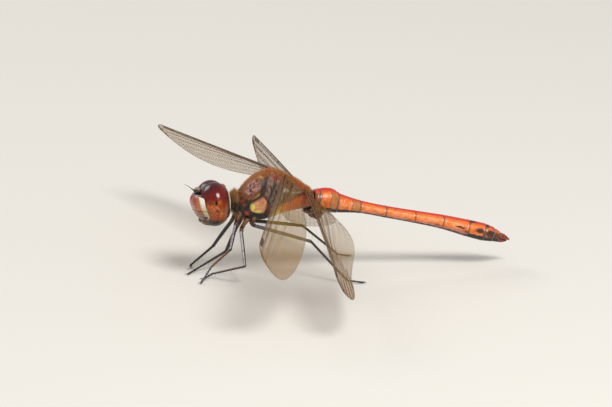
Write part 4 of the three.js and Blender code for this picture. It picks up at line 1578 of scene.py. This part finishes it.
class DRAGONFLY_OT_coat(bpy.types.Operator):
    """Grow the hair of the thorax, neck, face and abdomen base"""

    bl_idname = "dragonfly.coat"
    bl_label = "Coat"

    def execute(self, context):
        body = context.scene.dragonfly_body
        shrink, suture = body.coat_depth / MM, body.suture_depth / MM
        hair = setae("body_setae")
        rng = random.Random(7)

        def thorax(t, angle):
            return thorax_wall(t, angle, shrink, suture)

        def on_thorax(t, angle, root):
            here = (root.x, root.z)
            lobes = spot(here, (-12.35, 9.1), (1.0, 1.0)) + spot(here, (-8.9, 8.5), (1.6, 0.8))
            lobes += 0.88 * shoulder_spot(root, 1.7, 1.1, 0.3)
            return (0.3 + 0.7 * ease(math.sin(angle), 0.3, 0.85)) * (1 - 0.85 * min(1.0, lobes))

        hairs = grow_hairs(thorax, body.hair_count, on_thorax, thorax_hair, rng)
        build_coat("coat_thorax", hairs, hair, HAIR_WIDTH["thorax"])
        upper = lambda t, angle, root: 0.2 + 0.8 * ease(math.sin(angle), -0.1, 0.6) * ease(t, 0.2, 0.6)
        hairs = grow_hairs(prothorax_wall, COLLAR_HAIRS, upper, collar_hair, rng)
        build_coat("coat_prothorax", hairs, hair, HAIR_WIDTH["collar"])

        soft = bristle("#5a4030", 0.13, Vector((0, 0, -0.3)))
        front = lambda t, angle, root: 1.0 if math.sin(angle) > 0.1 and abs(root.y) < 1.6 else 0.0
        for name, span in (("coat_frons", FRONS_SPAN), ("coat_lip", LIP_HAIR_SPAN)):
            wall = lambda t, angle, span=span: plate_wall(t, angle, *span)
            hairs = grow_hairs(wall, FACE_HAIRS, front, soft, rng)
            build_coat(name, hairs, hair, HAIR_WIDTH["face"], HEAD_TILT)

        base = bristle("#b98548", 0.22, Vector((0.7, 0, 0)))
        sides = lambda t, angle, root: (0.15 + 0.85 * ease(math.sin(angle), 0.9, 0.3)) * ease(t, 1.0, 0.5)
        for i, count in SEGMENT_HAIRS.items():
            wall = lambda t, angle, i=i: segment_wall(i, t, angle)
            hairs = grow_hairs(wall, count, sides, base, rng)
            build_coat(f"coat_segment_{i + 1:02}", hairs, hair, HAIR_WIDTH["abdomen"])
        return {"FINISHED"}


class DRAGONFLY_OT_stage(bpy.types.Operator):
    """Set the floor, the lights and the camera"""

    bl_idname = "dragonfly.stage"
    bl_label = "Stage"

    def execute(self, context):
        stage = context.scene.dragonfly_stage
        bm = bmesh.new()
        bmesh.ops.create_grid(bm, x_segments=1, y_segments=1, size=FLOOR_REACH)
        mesh = bpy.data.meshes.new("floor")
        bm.to_mesh(mesh)
        bm.free()
        floor = bpy.data.objects.new("floor", mesh)
        context.collection.objects.link(floor)
        material, shader = new_material("floor_paper")
        shader.inputs["Base Color"].default_value = (*stage.floor, 1.0)
        shader.inputs["Roughness"].default_value = 0.9
        mesh.materials.append(material)

        world = bpy.data.worlds.new("studio")
        world.use_nodes = True
        sky = world.node_tree.nodes["Background"]
        sky.inputs["Color"].default_value = (1, 1, 1, 1)
        sky.inputs["Strength"].default_value = SKY_STRENGTH
        context.scene.world = world
        context.scene.view_settings.view_transform = "Standard"

        for name, direction, size, power in LAMPS:
            light = bpy.data.lights.new(name, "AREA")
            light.size = size
            light.energy = power
            lamp = bpy.data.objects.new(name, light)
            away = Vector(direction).normalized()
            aim = away.to_track_quat("Z", "Y").to_matrix().to_4x4()
            lamp.matrix_world = Matrix.Translation(away * LAMP_DISTANCE) @ aim
            context.collection.objects.link(lamp)

        a, e = stage.azimuth, stage.elevation
        back = Vector((math.sin(a) * math.cos(e), -math.cos(a) * math.cos(e), math.sin(e)))
        level = Vector((math.cos(a), math.sin(a), 0))
        turn = Matrix.Rotation(stage.roll, 4, back)
        right, up = turn @ level, turn @ back.cross(level)
        target = ORIGIN + AIM * MM
        camera_data = bpy.data.cameras.new("camera")
        camera_data.lens = camera_data.sensor_width * stage.distance / stage.view_width
        camera = bpy.data.objects.new("camera", camera_data)
        axes = Matrix((right, up, back)).transposed().to_4x4()
        camera.matrix_world = Matrix.Translation(target + back * stage.distance) @ axes
        context.collection.objects.link(camera)
        context.scene.camera = camera
        return {"FINISHED"}


# ------------------------------------------------------------------ panel and registration

OPERATORS = [
    DRAGONFLY_OT_stage,
    DRAGONFLY_OT_head,
    DRAGONFLY_OT_thorax,
    DRAGONFLY_OT_abdomen,
    DRAGONFLY_OT_wings,
    DRAGONFLY_OT_legs,
    DRAGONFLY_OT_coat,
]
SETTINGS = {
    "dragonfly_body": DragonflyBodySettings,
    "dragonfly_wings": DragonflyWingSettings,
    "dragonfly_legs": DragonflyLegSettings,
    "dragonfly_stage": DragonflyStageSettings,
}


class DRAGONFLY_PT_panel(bpy.types.Panel):
    """Lists the parts of the dragonfly and their settings"""

    bl_idname = "DRAGONFLY_PT_panel"
    bl_label = "Dragonfly"
    bl_space_type = "VIEW_3D"
    bl_region_type = "UI"
    bl_category = "Dragonfly"

    def draw(self, context):
        for operator in OPERATORS:
            self.layout.operator(operator.bl_idname)
        for name, settings in SETTINGS.items():
            box = self.layout.box()
            for key in settings.__annotations__:
                box.prop(getattr(context.scene, name), key)


def register():
    """Registers the settings, the operators and the panel."""
    for name, settings in SETTINGS.items():
        bpy.utils.register_class(settings)
        setattr(bpy.types.Scene, name, bpy.props.PointerProperty(type=settings))
    for cls in (*OPERATORS, DRAGONFLY_PT_panel):
        bpy.utils.register_class(cls)


def unregister():
    """Removes what register added."""
    for cls in (DRAGONFLY_PT_panel, *reversed(OPERATORS)):
        bpy.utils.unregister_class(cls)
    for name, settings in SETTINGS.items():
        delattr(bpy.types.Scene, name)
        bpy.utils.unregister_class(settings)


def main():
    """Builds everything."""
    register()
    bpy.ops.dragonfly.stage()
    bpy.ops.dragonfly.head()
    bpy.ops.dragonfly.thorax()
    bpy.ops.dragonfly.abdomen()
    bpy.ops.dragonfly.wings()
    bpy.ops.dragonfly.legs()
    bpy.ops.dragonfly.coat()


if __name__ == "__main__":
    main()
